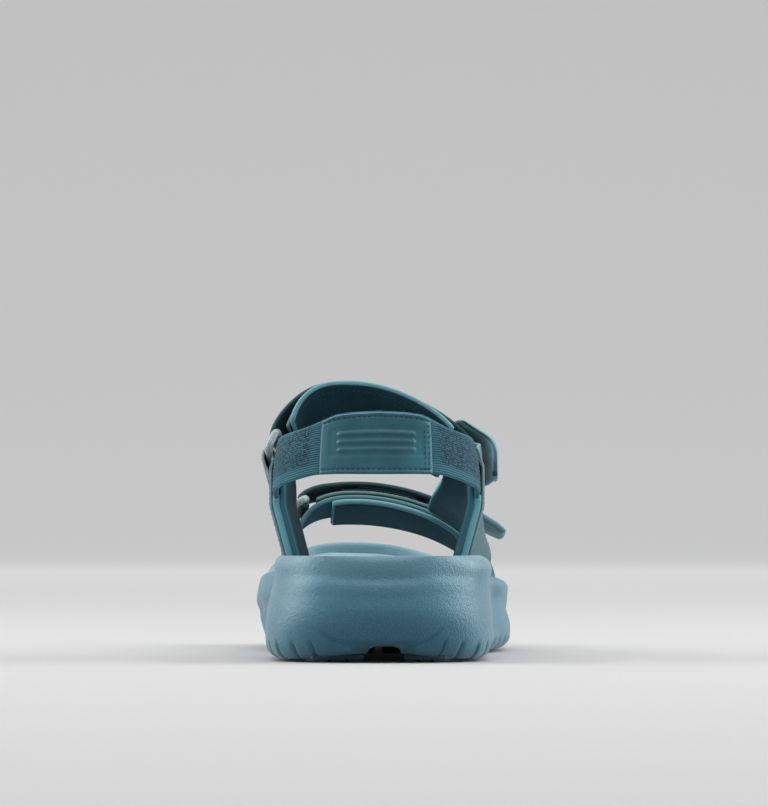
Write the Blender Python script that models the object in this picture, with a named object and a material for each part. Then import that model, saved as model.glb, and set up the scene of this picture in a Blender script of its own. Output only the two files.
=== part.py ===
"""Strappy sport sandal for a right foot, built from the pieces it is moulded and sewn from.

Numbers here are millimetres in foot coordinates: x towards the outer side of the foot, y from the back
of the heel to the toe, z up from the ground.  to_model() turns them into the model's metres, whose
origin is on the ground under the middle of the sole.

The straps and side panels all lie on one foot form, last_point().  Each piece fills its own layer of
distance above that form, so pieces that cross never touch.
"""
import math

import bmesh
import bpy
from mathutils import Vector

MM = 0.001
SOLE_LENGTH = 290.0
SOLE_CENTRE_X = 2.1
GAP = 0.3

# Layers above the foot form, inner and outer distance
PAD = (-2.6, -0.3)
LINING = (0.0, 2.2)
WEBBING = (2.7, 4.2)
ELASTIC = (2.5, 4.5)
PATCH = (4.8, 6.0)
PANEL = (4.9, 6.2)
LOOP_PAD = (4.5, 5.2)
HOOK_PAD = (5.5, 6.3)
FLAP = (6.6, 8.2)
PULL_TAB = (8.7, 11.5)
KEEPER_THICKNESS = 1.2

# Rings
BAR_RADIUS = 1.6
WRAP = (BAR_RADIUS + GAP, BAR_RADIUS + GAP + WEBBING[1] - WEBBING[0])
KEEPER_WRAP = (BAR_RADIUS + GAP, BAR_RADIUS + GAP + KEEPER_THICKNESS)
RING_PITCH = 8.6
BAR_SIDES = 8
KEEPER_RISE = 8.0
KEEPER_WRAP_END = 255.0

# Sole
OUTSOLE = 2.7
TREAD_DEPTH = 1.3
SOLE_STATIONS = 30
HEEL_ROUND = 45.0
TOE_ROUND = (48.0, 80.0)

COLOURS = {
    "foam": ((0.070, 0.175, 0.225), 0.55),
    "footbed": ((0.150, 0.290, 0.340), 0.60),
    "rubber": ((0.030, 0.060, 0.075), 0.70),
    "knit": ((0.030, 0.115, 0.160), 0.85),
    "patch": ((0.050, 0.140, 0.175), 0.50),
    "panel": ((0.110, 0.180, 0.185), 0.80),
    "lining": ((0.035, 0.120, 0.155), 0.85),
    "webbing": ((0.060, 0.150, 0.180), 0.80),
    "loop": ((0.025, 0.070, 0.095), 0.95),
    "tab": ((0.080, 0.190, 0.235), 0.45),
    "ring": ((0.420, 0.480, 0.490), 0.35),
}


# ---------------------------------------------------------------- helpers

def to_model(point):
    return Vector((point[0] - SOLE_CENTRE_X, point[1] - SOLE_LENGTH / 2, point[2])) * MM


def smooth(table, at):
    """The value at a place, on a smooth curve through a short table of (place, value)."""
    if at <= table[0][0]:
        return table[0][1]
    if at >= table[-1][0]:
        return table[-1][1]
    k = max(i for i in range(len(table) - 1) if table[i][0] <= at)
    before = table[max(k - 1, 0)]
    here, there = table[k], table[k + 1]
    after = table[min(k + 2, len(table) - 1)]
    span = there[0] - here[0]
    slope_here = (there[1] - before[1]) / (there[0] - before[0]) * span
    slope_there = (after[1] - here[1]) / (after[0] - here[0]) * span
    t = (at - here[0]) / span
    return (
        (2 * t ** 3 - 3 * t ** 2 + 1) * here[1]
        + (t ** 3 - 2 * t ** 2 + t) * slope_here
        + (3 * t ** 2 - 2 * t ** 3) * there[1]
        + (t ** 3 - t ** 2) * slope_there
    )


def mix(a, b, t):
    return a + (b - a) * t


def fade(low, high, at):
    t = min(max((at - low) / (high - low), 0.0), 1.0)
    return t * t * (3 - 2 * t)


def spread(first, last, count):
    return [mix(first, last, i / (count - 1)) for i in range(count)]


def material(kind):
    found = bpy.data.materials.get(kind)
    if found:
        return found
    colour, roughness = COLOURS[kind]
    made = bpy.data.materials.new(kind)
    made.use_nodes = True
    shader = made.node_tree.nodes["Principled BSDF"]
    shader.inputs["Base Color"].default_value = (*colour, 1.0)
    shader.inputs["Roughness"].default_value = roughness
    shader.inputs["Metallic"].default_value = 0.0
    return made


def add_object(name, points, faces, kind, pivot=None):
    """One object from points in foot coordinates, with its origin at pivot."""
    origin = to_model(pivot) if pivot is not None else Vector((0, 0, 0))
    mesh = bpy.data.meshes.new(name)
    mesh.from_pydata([to_model(p) - origin for p in points], [], faces)
    shape = bmesh.new()
    shape.from_mesh(mesh)
    bmesh.ops.recalc_face_normals(shape, faces=shape.faces)
    shape.to_mesh(mesh)
    shape.free()
    mesh.materials.append(material(kind))
    mesh.shade_smooth()
    mesh.set_sharp_from_angle(angle=math.radians(35))
    made = bpy.data.objects.new(name, mesh)
    made.location = origin
    bpy.context.scene.collection.objects.link(made)
    return made


def slab(rows):
    """Points and faces of a closed ribbon: each row is two lists of points, its inner and outer side."""
    across = len(rows[0][0])
    points = [p for inner, outer in rows for p in (*inner, *outer)]

    def at(row, side, column):
        return (row * 2 + side) * across + column

    faces = []
    for i in range(len(rows) - 1):
        for j in range(across - 1):
            faces.append((at(i, 0, j), at(i, 0, j + 1), at(i + 1, 0, j + 1), at(i + 1, 0, j)))
            faces.append((at(i, 1, j), at(i + 1, 1, j), at(i + 1, 1, j + 1), at(i, 1, j + 1)))
        for j in (0, across - 1):
            faces.append((at(i, 0, j), at(i + 1, 0, j), at(i + 1, 1, j), at(i, 1, j)))
    for i in (0, len(rows) - 1):
        for j in range(across - 1):
            faces.append((at(i, 0, j), at(i, 1, j), at(i, 1, j + 1), at(i, 0, j + 1)))
    return points, faces


def cut(target, cutter):
    """Takes the cutter's volume out of the target."""
    cutter.hide_render = True
    cutter.display_type = "WIRE"
    boolean = target.modifiers.new("slot_" + cutter.name, "BOOLEAN")
    boolean.operation = "DIFFERENCE"
    boolean.solver = "EXACT"
    boolean.object = cutter


# ---------------------------------------------------------------- foot form

FORM = {
    "medial": ((60, 36.5), (80, 36.5), (92, 35.0), (118, 33.0), (140, 31.0), (165, 34.0), (195, 40.0), (215, 41.0)),
    "lateral": ((60, 36.5), (92, 36.5), (118, 36.5), (140, 37.5), (165, 41.0), (195, 45.0), (215, 45.0)),
    "shoulder": ((60, 76), (92, 72), (118, 56), (140, 45), (165, 36), (195, 27), (215, 24)),
    "top": ((60, 150), (80, 123), (92, 108), (118, 80.5), (140, 69), (165, 61.5), (195, 54), (215, 48)),
    "ridge": ((60, -8), (92, -10), (165, -9), (215, -9)),
    "medial_power": ((60, 4.5), (80, 4.0), (92, 2.95), (118, 2.5), (165, 2.7), (215, 2.7)),
    "lateral_power": ((60, 4.5), (80, 4.0), (92, 1.93), (118, 1.78), (215, 1.75)),
}
LEAN_START = 60.0
LEAN = 0.27
FLARE_START = 42.0
FLARE = 0.25


def lean(y, z, shoulder):
    """How far the side of the form moves out below its shoulder, negative where it leans in."""
    inward = -LEAN * max(min(LEAN_START, shoulder) - z, 0.0)
    outward = FLARE * max(min(FLARE_START, shoulder) - z, 0.0)
    return mix(inward, outward, fade(148, 166, y))


def form_section(y, side):
    half_name, power_name = ("medial", "medial_power") if side < 0 else ("lateral", "lateral_power")
    ridge = smooth(FORM["ridge"], y)
    half = smooth(FORM[half_name], y) - side * ridge
    shoulder = smooth(FORM["shoulder"], y)
    rise = smooth(FORM["top"], y) - shoulder
    return ridge, half, shoulder, rise, smooth(FORM[power_name], y)


def last_point(y, angle):
    """A point of the foot form: angle in degrees from straight up, negative to the medial side."""
    side = -1 if angle < 0 else 1
    ridge, half, shoulder, rise, power = form_section(y, side)
    turn = math.radians(abs(angle))
    if turn <= math.pi / 2:
        reach = (math.sin(turn) / half) ** power + (math.cos(turn) / rise) ** power
        reach = reach ** (-1 / power)
        return Vector((ridge + side * reach * math.sin(turn), y, shoulder + reach * math.cos(turn)))
    z = shoulder - (turn - math.pi / 2) * half
    return Vector((ridge + side * (half + lean(y, z, shoulder)), y, z))


def angle_at(y, side, z):
    """The signed angle at which the form's side is at height z."""
    ridge, half, shoulder, rise, power = form_section(y, side)
    if z < shoulder:
        return side * math.degrees(math.pi / 2 + (shoulder - z) / half)
    share = min((z - shoulder) / rise, 1.0)
    out = half * (1 - share ** power) ** (1 / power)
    return side * math.degrees(math.atan2(out, z - shoulder))


def last_normal(y, angle):
    step_y, step_angle = 0.5, 0.5
    along = last_point(y + step_y, angle) - last_point(y - step_y, angle)
    around = last_point(y, angle + step_angle) - last_point(y, angle - step_angle)
    return along.cross(around).normalized() * -1


def raised(y, angle, height):
    return last_point(y, angle) + last_normal(y, angle) * height


# ---------------------------------------------------------------- sole

SOLE_HALF = (
    ((0, 44), (45, 43.7), (80, 44.0), (110, 39.5), (135, 38.0), (160, 44.0), (175, 47.5), (195, 50.0), (215, 49.0),
     (240, 45.5), (290, 41.0)),
    ((0, 44), (45, 43.7), (80, 44.2), (110, 43.5), (140, 46.5), (158, 51.0), (172, 53.5), (195, 54.7), (215, 55.3),
     (290, 55.0)),
)
RIM_HEIGHT = (
    ((0, 40.2), (50, 40.2), (80, 39.8), (110, 40.0), (150, 35.5), (190, 32.0), (230, 33.0), (270, 38.5),
     (290, 44.6)),
    ((0, 40.2), (50, 40.2), (80, 39.0), (110, 37.0), (150, 33.0), (190, 31.5), (230, 32.5), (270, 38.0),
     (290, 44.6)),
)
FOOTBED_DISH = ((0, 8.5), (60, 8.5), (120, 6.0), (190, 4.0), (290, 5.0))
TOE_DRIFT = -12.0
TOE_LIFT = 20.0
HEEL_LIFT = 5.0

# Rings round the midsole from the bottom, up the side and down into the recess: how far in from the
# widest outline, and how far up from the underside (0) to the rim (1)
MIDSOLE_RINGS = (
    (12.0, 0.00), (7.0, 0.00), (2.5, 0.13), (0.0, 0.30), (1.2, 0.46), (2.4, 0.60),
    (1.6, 0.76), (3.4, 0.93), (4.6, 1.00), (6.0, 1.00), (7.4, 0.95),
)
RECESS_INSET = 7.8
FOOTBED_THICKNESS = 6.0


def toe_drift(y):
    return TOE_DRIFT * max((y - 190.0) / 100.0, 0.0) ** 1.5


def end_rounding(y, side):
    """1 along the sole, falling to 0 at its two ends."""
    toe_round = TOE_ROUND[0] if side < 0 else TOE_ROUND[1]
    if y < HEEL_ROUND:
        share, power = (HEEL_ROUND - y) / HEEL_ROUND, 2.4
    elif y > SOLE_LENGTH - toe_round:
        share, power = (y - SOLE_LENGTH + toe_round) / toe_round, 2.3
    else:
        return 1.0
    return max(1 - share ** power, 0.0) ** (1 / power)


def sole_edge(y, side):
    half = smooth(SOLE_HALF[0 if side < 0 else 1], y)
    return toe_drift(y) + side * half * end_rounding(y, side)


def ground(y):
    """Height of the tread's face: the sole curls up at both ends."""
    heel = HEEL_LIFT * (max(15.0 - y, 0.0) / 15.0) ** 2
    toe = TOE_LIFT * (max(y - 215.0, 0.0) / 75.0) ** 1.8
    return heel + toe


def rim(y, side):
    return smooth(RIM_HEIGHT[0 if side < 0 else 1], y)


def sole_outline(inset):
    """Plan points round the sole, heel, outer side, toe, inner side, moved in by inset, with their side."""
    angles = [math.pi * i / SOLE_STATIONS for i in range(SOLE_STATIONS + 1)]
    stations = [SOLE_LENGTH / 2 * (1 - math.cos(a)) for a in angles]
    outer = [(Vector((sole_edge(y, 1), y)), 1) for y in stations]
    inner = [(Vector((sole_edge(y, -1), y)), -1) for y in stations[1:-1]]
    loop = outer + inner[::-1]
    moved = []
    for i, (point, side) in enumerate(loop):
        before, after = loop[i - 1][0], loop[(i + 1) % len(loop)][0]
        along = (after - before).normalized()
        inward = Vector((-along.y, along.x))
        moved.append((point + inward * inset, side))
    return moved


def cap_faces(start, count, stations):
    """Faces that close a ring by joining each outer point with the inner point at its own station."""
    faces = [(start, start + 1, start + count - 1)]
    for i in range(1, stations - 1):
        faces.append((start + i, start + i + 1, start + count - i - 1, start + count - i))
    faces.append((start + stations - 1, start + stations, start + stations + 1))
    return faces


def ring_stack(rings):
    """Points and faces of a closed body from rings of equal length, capped at both ends."""
    count = len(rings[0])
    points = [p for ring in rings for p in ring]
    faces = cap_faces(0, count, SOLE_STATIONS)
    faces += cap_faces((len(rings) - 1) * count, count, SOLE_STATIONS)
    for k in range(len(rings) - 1):
        for i in range(count):
            j = (i + 1) % count
            faces.append((k * count + i, k * count + j, (k + 1) * count + j, (k + 1) * count + i))
    return points, faces


def footbed_height(y, side):
    return rim(y, side) - 1.5


def footbed_centre(y):
    return (rim(y, -1) + rim(y, 1)) / 2 - smooth(FOOTBED_DISH, y)


def midsole():
    rings = []
    for inset, share in MIDSOLE_RINGS:
        ring = []
        for flat, side in sole_outline(inset):
            low = ground(flat.y) + OUTSOLE + GAP
            ring.append(Vector((flat.x, flat.y, mix(low, rim(flat.y, side), share))))
        rings.append(ring)
    floor = []
    for flat, side in sole_outline(RECESS_INSET):
        floor.append(Vector((flat.x, flat.y, footbed_centre(flat.y) - FOOTBED_THICKNESS)))
    rings.append(floor)
    return add_object("midsole", *ring_stack(rings), "foam")


def footbed():
    rings = []
    for inset, sink in ((RECESS_INSET + GAP, None), (RECESS_INSET + GAP, 0.6), (RECESS_INSET + 1.2, 0.0)):
        ring = []
        for flat, side in sole_outline(inset):
            if sink is None:
                z = footbed_centre(flat.y) - FOOTBED_THICKNESS + GAP
            else:
                z = footbed_height(flat.y, side) - sink
            ring.append(Vector((flat.x, flat.y, z)))
        rings.append(ring)
    for inset, share in ((14.0, 0.55), (22.0, 0.92)):
        ring = []
        for flat, side in sole_outline(inset):
            edge = footbed_height(flat.y, side)
            ring.append(Vector((flat.x, flat.y, mix(edge, footbed_centre(flat.y), share))))
        rings.append(ring)
    return add_object("footbed", *ring_stack(rings), "footbed")


def centre_groove():
    """A long tunnel-shaped cutter under the middle of the heel."""
    profile = [(-4.5, -3.0), (-4.5, 3.5), (-2.5, 6.5), (6.5, 6.5), (8.5, 3.5), (8.5, -3.0)]
    points = [Vector((x, y, z)) for y in (-10.0, 125.0) for x, z in profile]
    count = len(profile)
    faces = [tuple(range(count)), tuple(range(2 * count - 1, count - 1, -1))]
    faces += [(i, (i + 1) % count, (i + 1) % count + count, i + count) for i in range(count)]
    return add_object("groove", points, faces, "rubber")


def tread_pad(name, side, first, last, rows, columns, near):
    """A rubber pad from y first to last, from x near to the sole's edge, with one lug in each cell."""
    margin = 8.5
    points = []
    for y in spread(first, last, rows + 1):
        far = sole_edge(y, side) - side * margin
        for x in spread(near, far, columns + 1):
            points.append(Vector((x, y, ground(y) + TREAD_DEPTH)))
    for y in spread(first, last, rows + 1):
        far = sole_edge(y, side) - side * margin
        for x in spread(near, far, columns + 1):
            points.append(Vector((x, y, ground(y) + OUTSOLE)))
    width = columns + 1
    upper = (rows + 1) * width
    lower_faces, faces = [], []
    for i in range(rows):
        for j in range(columns):
            a = i * width + j
            lower_faces.append((a, a + 1, a + width + 1, a + width))
            faces.append((a + upper, a + width + upper, a + width + 1 + upper, a + 1 + upper))
    for i in range(rows):
        for a in (i * width, i * width + columns):
            faces.append((a, a + width, a + width + upper, a + upper))
    for j in range(columns):
        for a in (j, rows * width + j):
            faces.append((a, a + 1, a + 1 + upper, a + upper))
    made = add_object(name, points, lower_faces + faces, "rubber")
    shape = bmesh.new()
    shape.from_mesh(made.data)
    shape.faces.ensure_lookup_table()
    lugs = [f for f in shape.faces if f.normal.z < -0.7]
    bmesh.ops.inset_individual(shape, faces=lugs, thickness=1.2 * MM, depth=0.0)
    bottoms = {v for f in lugs for v in f.verts}
    for vertex in bottoms:
        vertex.co.z -= TREAD_DEPTH * MM
    shape.to_mesh(made.data)
    shape.free()
    return made


# ---------------------------------------------------------------- heel strap

HEEL_STRAP_TOP = ((0, 95.0), (15, 93.8), (24, 91.2), (35, 88.6), (50, 86.6), (66, 85.3), (95, 84.2))
HEEL_STRAP_BOTTOM = ((0, 71.0), (24, 70.8), (35, 69.0), (50, 66.3), (66, 63.8), (95, 61.2))
HEEL_BACK = 10.5
HEEL_TURN = 50.0
HEEL_POWER = 2.3
HEEL_HALF = 36.5
STRAP_END_Y = 78.0
STRAP_PIVOT = (0.0, 73.0, 73.0)


def heel_plan(height):
    """Plan points (x, y, distance from the middle) round the outer half of the heel."""
    deep = HEEL_TURN - HEEL_BACK + height
    half = HEEL_HALF + height
    samples = []
    for i in range(61):
        turn = math.pi / 2 * i / 60
        x = half * math.sin(turn) ** (2 / HEEL_POWER)
        y = HEEL_TURN - deep * math.cos(turn) ** (2 / HEEL_POWER)
        samples.append((x, y))
    samples += [(half, y) for y in spread(HEEL_TURN + 4, STRAP_END_Y, 8)]
    run, out = 0.0, []
    for i, (x, y) in enumerate(samples):
        if i:
            run += math.dist(samples[i - 1], (x, y))
        out.append((x, y, run))
    return out


def heel_place(reach, height):
    """Plan place at a signed distance round the heel from its middle, at a height above the form."""
    samples = heel_plan(height)
    want = abs(reach)
    k = next((i for i in range(1, len(samples)) if samples[i][2] >= want), len(samples) - 1)
    (x0, y0, s0), (x1, y1, s1) = samples[k - 1], samples[k]
    t = min((want - s0) / (s1 - s0), 1.0)
    return math.copysign(mix(x0, x1, t), reach), mix(y0, y1, t)


def heel_band(name, layer, reaches, top, bottom, kind, levels=3):
    """A band round the heel between two height functions of the distance from its middle."""
    rows = []
    for reach in reaches:
        sides = []
        for height in layer:
            x, y = heel_place(reach, height)
            sides.append([Vector((x, y, z)) for z in spread(bottom(reach), top(reach), levels)])
        rows.append(sides)
    return add_object(name, *slab(rows), kind, STRAP_PIVOT)


def heel_top(reach):
    return smooth(HEEL_STRAP_TOP, abs(reach))


def heel_bottom(reach):
    return smooth(HEEL_STRAP_BOTTOM, abs(reach))


def heel_strap():
    full = heel_plan(ELASTIC[0])[-1][2]
    heel_band("heel_strap", ELASTIC, spread(-full, full, 41), heel_top, heel_bottom, "knit")
    patch_ends = spread(-23.5, 21.0, 15)
    heel_band("heel_patch", PATCH, patch_ends, lambda s: heel_top(s) - 0.5,
              lambda s: heel_bottom(s) + 0.5, "patch")


# ---------------------------------------------------------------- side panels

PANEL_SINK = 6.5
PANEL_REAR = 66.0
MEDIAL_FRONT = 116.0
MEDIAL_TOP = ((66, 78), (88, 76), (104, 67), (116, 58))
MEDIAL_LINING_TOP = ((66, 82), (88, 81), (104, 74), (116, 64))
LATERAL_FRONT = 156.5
LATERAL_TOP = ((66, 78), (80, 74), (90, 67.6), (120, 67.6), (138, 61), (157, 56))


def panel_rows(side, front, top_angle, layer, columns, levels):
    """Rows of a side panel: each row runs up the foot at one y, from the sole to top_angle(y)."""
    rows = []
    for y in spread(PANEL_REAR, front, columns):
        low = angle_at(y, side, rim(y, side) - PANEL_SINK)
        angles = spread(low, top_angle(y), levels)
        rows.append([[raised(y, a, height) for a in angles] for height in layer])
    return rows


def side_panels():
    def medial_outer(y):
        return angle_at(y, -1, smooth(MEDIAL_TOP, y))

    def medial_inner(y):
        return angle_at(y, -1, smooth(MEDIAL_LINING_TOP, y))

    def lateral(y):
        return smooth(LATERAL_TOP, y)

    for side, front, top, layer, name, kind in (
        (-1, MEDIAL_FRONT, medial_outer, PANEL, "medial_quarter", "panel"),
        (-1, MEDIAL_FRONT, medial_inner, LINING, "medial_quarter_lining", "lining"),
        (1, LATERAL_FRONT, lateral, PANEL, "lateral_quarter", "panel"),
        (1, LATERAL_FRONT, lateral, LINING, "lateral_quarter_lining", "lining"),
    ):
        columns = 13 if side > 0 else 9
        add_object(name, *slab(panel_rows(side, front, top, layer, columns, 9)), kind)


def panel_slots():
    """Cutters a little bigger than the side panels' feet, for the sole."""
    made = []
    for side, front in ((-1, MEDIAL_FRONT), (1, LATERAL_FRONT)):
        rows = []
        ys = spread(PANEL_REAR - GAP, front + GAP, 13)
        for y in ys:
            low = angle_at(y, side, rim(y, side) - PANEL_SINK - GAP)
            high = angle_at(y, side, 52.0)
            rows.append([[raised(y, a, height) for a in spread(low, high, 6)]
                         for height in (LINING[0] - GAP, PANEL[1] + GAP)])
        name = "medial_slot" if side < 0 else "lateral_slot"
        made.append(add_object(name, *slab(rows), "rubber"))
    return made


# ---------------------------------------------------------------- adjustable straps

INSTEP = {
    "name": "instep",
    "rear": ((-110, 87), (-50, 90), (0, 92), (66, 91.5), (110, 86)),
    "front": ((-110, 117), (-50, 119), (0, 117.5), (66, 119), (110, 112)),
    "ring": -57.0,
    "bar_height": 6.4,
    "liner_start": -50.0,
    "liner_end": 65.8,
    "loop_end": 50.0,
    "flap_end": 76.0,
    "tab": (65.0, 94.0),
    "tab_skew": -11.0,
    "tab_flare": ((65, 0.0), (72, 0.3), (78, 1.3), (82, 0.8), (87, -0.6), (94, -1.2)),
    "keeper": (6.5, 61.0),
}
FOREFOOT = {
    "name": "forefoot",
    "rear": ((-130, 160), (-60, 157), (0, 157.5), (60, 157), (130, 158)),
    "front": ((-130, 186), (-60, 189), (0, 194), (60, 192), (130, 188)),
    "ring": -40.0,
    "bar_height": 6.1,
    "liner_start": -24.0,
    "liner_end": 76.0,
    "loop_end": 46.0,
    "flap_end": 70.0,
    "tab": (58.0, 85.0),
    "tab_skew": -5.0,
    "tab_flare": ((58, 0.0), (70, 0.4), (78, 1.3), (85, 4.2)),
    "keeper": (2.5, 35.0),
}
EDGE_INSET = 0.13
KEEPER_INSET = 0.16
STRAP_START = 6.0  # degrees past the ring's bar, clear of the flap's wrap as it turns
INSTEP_STRAP_END = 77.0
SLOT_FOOT = 27.0
TAB_TAPER = 1.2


def across(strap, angle, share):
    """y of the place at a share of the way from the strap's rear edge to its front edge."""
    return mix(smooth(strap["rear"], angle), smooth(strap["front"], angle), share)


def band_rows(strap, angles, layer, inset, columns=5):
    """Rows of a band that follows the strap; layer holds two numbers or two functions of the angle."""
    rows = []
    for angle in angles:
        sides = []
        for height in layer:
            value = height(angle) if callable(height) else height
            shares = spread(inset, 1 - inset, columns)
            sides.append([raised(across(strap, angle, s), angle, value) for s in shares])
        rows.append(sides)
    return rows


def ring_frame(strap):
    """Middle of the ring's upper bar, and the directions across the strap, down it and off the foot."""
    angle = strap["ring"]
    inset = EDGE_INSET
    rear = raised(across(strap, angle, inset), angle, strap["bar_height"])
    front = raised(across(strap, angle, 1 - inset), angle, strap["bar_height"])
    side = (front - rear).normalized()
    out = last_normal(across(strap, angle, 0.5), angle)
    out = (out - side * out.dot(side)).normalized()
    down = out.cross(side).normalized()
    if down.z > 0:
        down = -down
    return (rear + front) / 2, side, down, out, (front - rear).length


def arc_row(centre, side, down, out, width, radii, turn, columns=5):
    """A row round a bar: turn is 0 pointing down the strap and 90 pointing off the foot."""
    turn = math.radians(turn)
    ray = down * math.cos(turn) + out * math.sin(turn)
    sides = []
    for radius in radii:
        middle = centre + ray * radius
        sides.append([middle + side * width * (s - 0.5) for s in spread(0, 1, columns)])
    return sides


def flap(strap):
    centre, side, down, out, width = ring_frame(strap)
    rows = [arc_row(centre, side, down, out, width, WRAP, t) for t in spread(-90, 75, 9)]
    start = strap["ring"]
    settle = 24.0

    def inner(angle):
        return mix(strap["bar_height"] + WRAP[0], FLAP[0], fade(start, start + settle, angle))

    def outer(angle):
        return inner(angle) + FLAP[1] - FLAP[0]

    angles = spread(start + 1.5, strap["flap_end"], 22)
    rows += band_rows(strap, angles, (inner, outer), EDGE_INSET)
    add_object(strap["name"] + "_flap", *slab(rows), "webbing", centre)


def pull_tab(strap):
    """A thick moulded tab on the flap's end, standing a little off the foot, with rounded free corners."""
    centre = ring_frame(strap)[0]
    first, last = strap["tab"]
    rows = []
    for angle in spread(first, last, 9):
        near_end = fade(last - 6, last, angle)
        inset = mix(0.06, 0.16, near_end ** 2)
        flare = smooth(strap["tab_flare"], angle)
        thin = TAB_TAPER * (1 - fade(first, first + 8, angle))
        sides = []
        for height in (PULL_TAB[0], PULL_TAB[1] - thin):
            line = []
            for share in spread(inset, 1 - inset, 5):
                turned = angle + strap["tab_skew"] * share
                line.append(raised(across(strap, turned, share), turned, height + flare))
            sides.append(line)
        rows.append(sides)
    add_object(strap["name"] + "_pull_tab", *slab(rows), "tab", centre)


def ring(strap):
    """A rectangular loop of round bar with rounded corners."""
    centre, side, down, out, width = ring_frame(strap)
    lower = centre + down * RING_PITCH
    half = width / 2 + 1.0 + BAR_RADIUS
    corner = 2.4
    path = []
    for sx, sd, first in ((1, 1, 0), (-1, 1, 90), (-1, -1, 180), (1, -1, 270)):
        for turn in spread(first, first + 90, 4):
            angle = math.radians(turn)
            a = sx * (half - corner) + corner * math.cos(angle)
            d = sd * (RING_PITCH / 2 - corner) + corner * math.sin(angle)
            path.append((a, d, angle))
    middle = (centre + lower) / 2
    points, faces = [], []
    for a, d, angle in path:
        heading = side * math.cos(angle) + down * math.sin(angle)
        spot = middle + side * a + down * d
        for k in range(BAR_SIDES):
            turn = 2 * math.pi * k / BAR_SIDES
            points.append(spot + (heading * math.cos(turn) + out * math.sin(turn)) * BAR_RADIUS)
    count = len(path)
    for i in range(count):
        for k in range(BAR_SIDES):
            j, m = (i + 1) % count, (k + 1) % BAR_SIDES
            faces.append((i * BAR_SIDES + k, j * BAR_SIDES + k, j * BAR_SIDES + m, i * BAR_SIDES + m))
    add_object(strap["name"] + "_ring", points, faces, "ring", lower)


def keeper_lie(strap):
    """How the keeper lies: the ring's lower bar, its angle and height on the form, and the form's normal there."""
    centre, side, down, _, _ = ring_frame(strap)
    lower = centre + down * RING_PITCH
    top = strap["ring"]
    while (last_point(lower.y, top - 0.5) - lower).length < (last_point(lower.y, top) - lower).length:
        top -= 0.5
    normal = last_normal(lower.y, top)
    normal = (normal - side * normal.dot(side)).normalized()
    return lower, top, (last_point(lower.y, top) - lower).length, normal


def keeper(strap):
    """Webbing that rises from the side of the foot and hooks over the ring's lower bar."""
    _, side, down, out, width = ring_frame(strap)
    lower, top, bar_height, normal = keeper_lie(strap)
    lift, foot = strap["keeper"]
    shares = spread(KEEPER_INSET, 1 - KEEPER_INSET, 5)
    narrow = width * (1 - 2 * KEEPER_INSET) / (1 - 2 * EDGE_INSET)
    low = angle_at(lower.y, -1, foot)
    along = normal.cross(side) * (-1 if normal.cross(side).z > 0 else 1)
    rows = []
    for risen in spread(0, 1, 10):
        reach = (last_point(lower.y, mix(low, top, risen)) - last_point(lower.y, top)).length
        blend = fade(0.0, KEEPER_RISE, reach)
        rise = mix(bar_height, lift - KEEPER_WRAP[0], blend)
        sides = []
        for radius in KEEPER_WRAP:
            line = []
            for share in shares:
                offset = (share - 0.5) / (1 - 2 * KEEPER_INSET) * narrow
                y = lower.y + side.y * offset + down.y * reach
                worn = raised(y, mix(angle_at(y, -1, foot), top, risen), rise + radius)
                free = lower + side * offset + along * reach + normal * radius
                line.append(free.lerp(worn, blend))
            sides.append(line)
        rows.append(sides)
    first = math.degrees(math.atan2(normal.dot(out), normal.dot(down)))
    turns = spread(first, KEEPER_WRAP_END, 12)[1:]
    rows += [arc_row(lower, side, down, out, narrow, KEEPER_WRAP, t) for t in turns]
    add_object(strap["name"] + "_keeper", *slab(rows), "panel")


def instep_strap():
    strap = INSTEP
    angles = spread(strap["liner_start"], strap["liner_end"], 22)
    add_object("instep_liner", *slab(band_rows(strap, angles, LINING, 0.0)), "lining")
    angles = spread(strap["ring"] + STRAP_START, INSTEP_STRAP_END, 24)
    add_object("instep_strap", *slab(band_rows(strap, angles, WEBBING, EDGE_INSET)), "webbing")
    fastening(strap)


def forefoot_strap():
    strap = FOREFOOT
    angles = spread(strap["liner_start"], strap["liner_end"], 16)
    add_object("forefoot_liner", *slab(band_rows(strap, angles, PAD, 0.02)), "lining")
    foot = angle_at(172, -1, SLOT_FOOT)
    angles = spread(foot, 84.0, 26)
    add_object("forefoot_under_strap", *slab(band_rows(strap, angles, LINING, 0.10)), "lining")
    foot = angle_at(175, 1, SLOT_FOOT)
    angles = spread(strap["ring"] + STRAP_START, foot, 26)
    add_object("forefoot_strap", *slab(band_rows(strap, angles, WEBBING, EDGE_INSET)), "webbing")
    fastening(strap)


def fastening(strap):
    """The parts that make a strap adjustable: ring, keeper, flap, tab and the two fastening pads."""
    name = strap["name"]
    centre = ring_frame(strap)[0]
    start = strap["ring"] + 26.0
    rows = band_rows(strap, spread(start, strap["loop_end"], 14), LOOP_PAD, EDGE_INSET + 0.03)
    add_object(name + "_loop_pad", *slab(rows), "loop")
    rows = band_rows(strap, spread(start + 14, strap["loop_end"], 12), HOOK_PAD, EDGE_INSET + 0.03)
    add_object(name + "_hook_pad", *slab(rows), "loop", centre)
    ring(strap)
    keeper(strap)
    flap(strap)
    pull_tab(strap)


def forefoot_slots():
    """Cutters for the two places where the forefoot bands go down into the sole."""
    strap = FOREFOOT
    made = []
    for name, side, layer, inset, at in (
        ("forefoot_medial_slot", -1, (LINING[0], FOREFOOT["keeper"][0] + KEEPER_THICKNESS), 0.10, 172),
        ("forefoot_lateral_slot", 1, WEBBING, EDGE_INSET, 175),
    ):
        low = angle_at(at, side, SLOT_FOOT - 0.6)
        high = angle_at(at, side, 46.0)
        grown = (layer[0] - GAP, layer[1] + GAP)
        made.append(add_object(name, *slab(band_rows(strap, spread(low, high, 10), grown, inset - 0.015)),
                               "rubber"))
    return made


# ---------------------------------------------------------------- assembly

def clear_scene():
    for found in list(bpy.data.objects):
        bpy.data.objects.remove(found)


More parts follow.
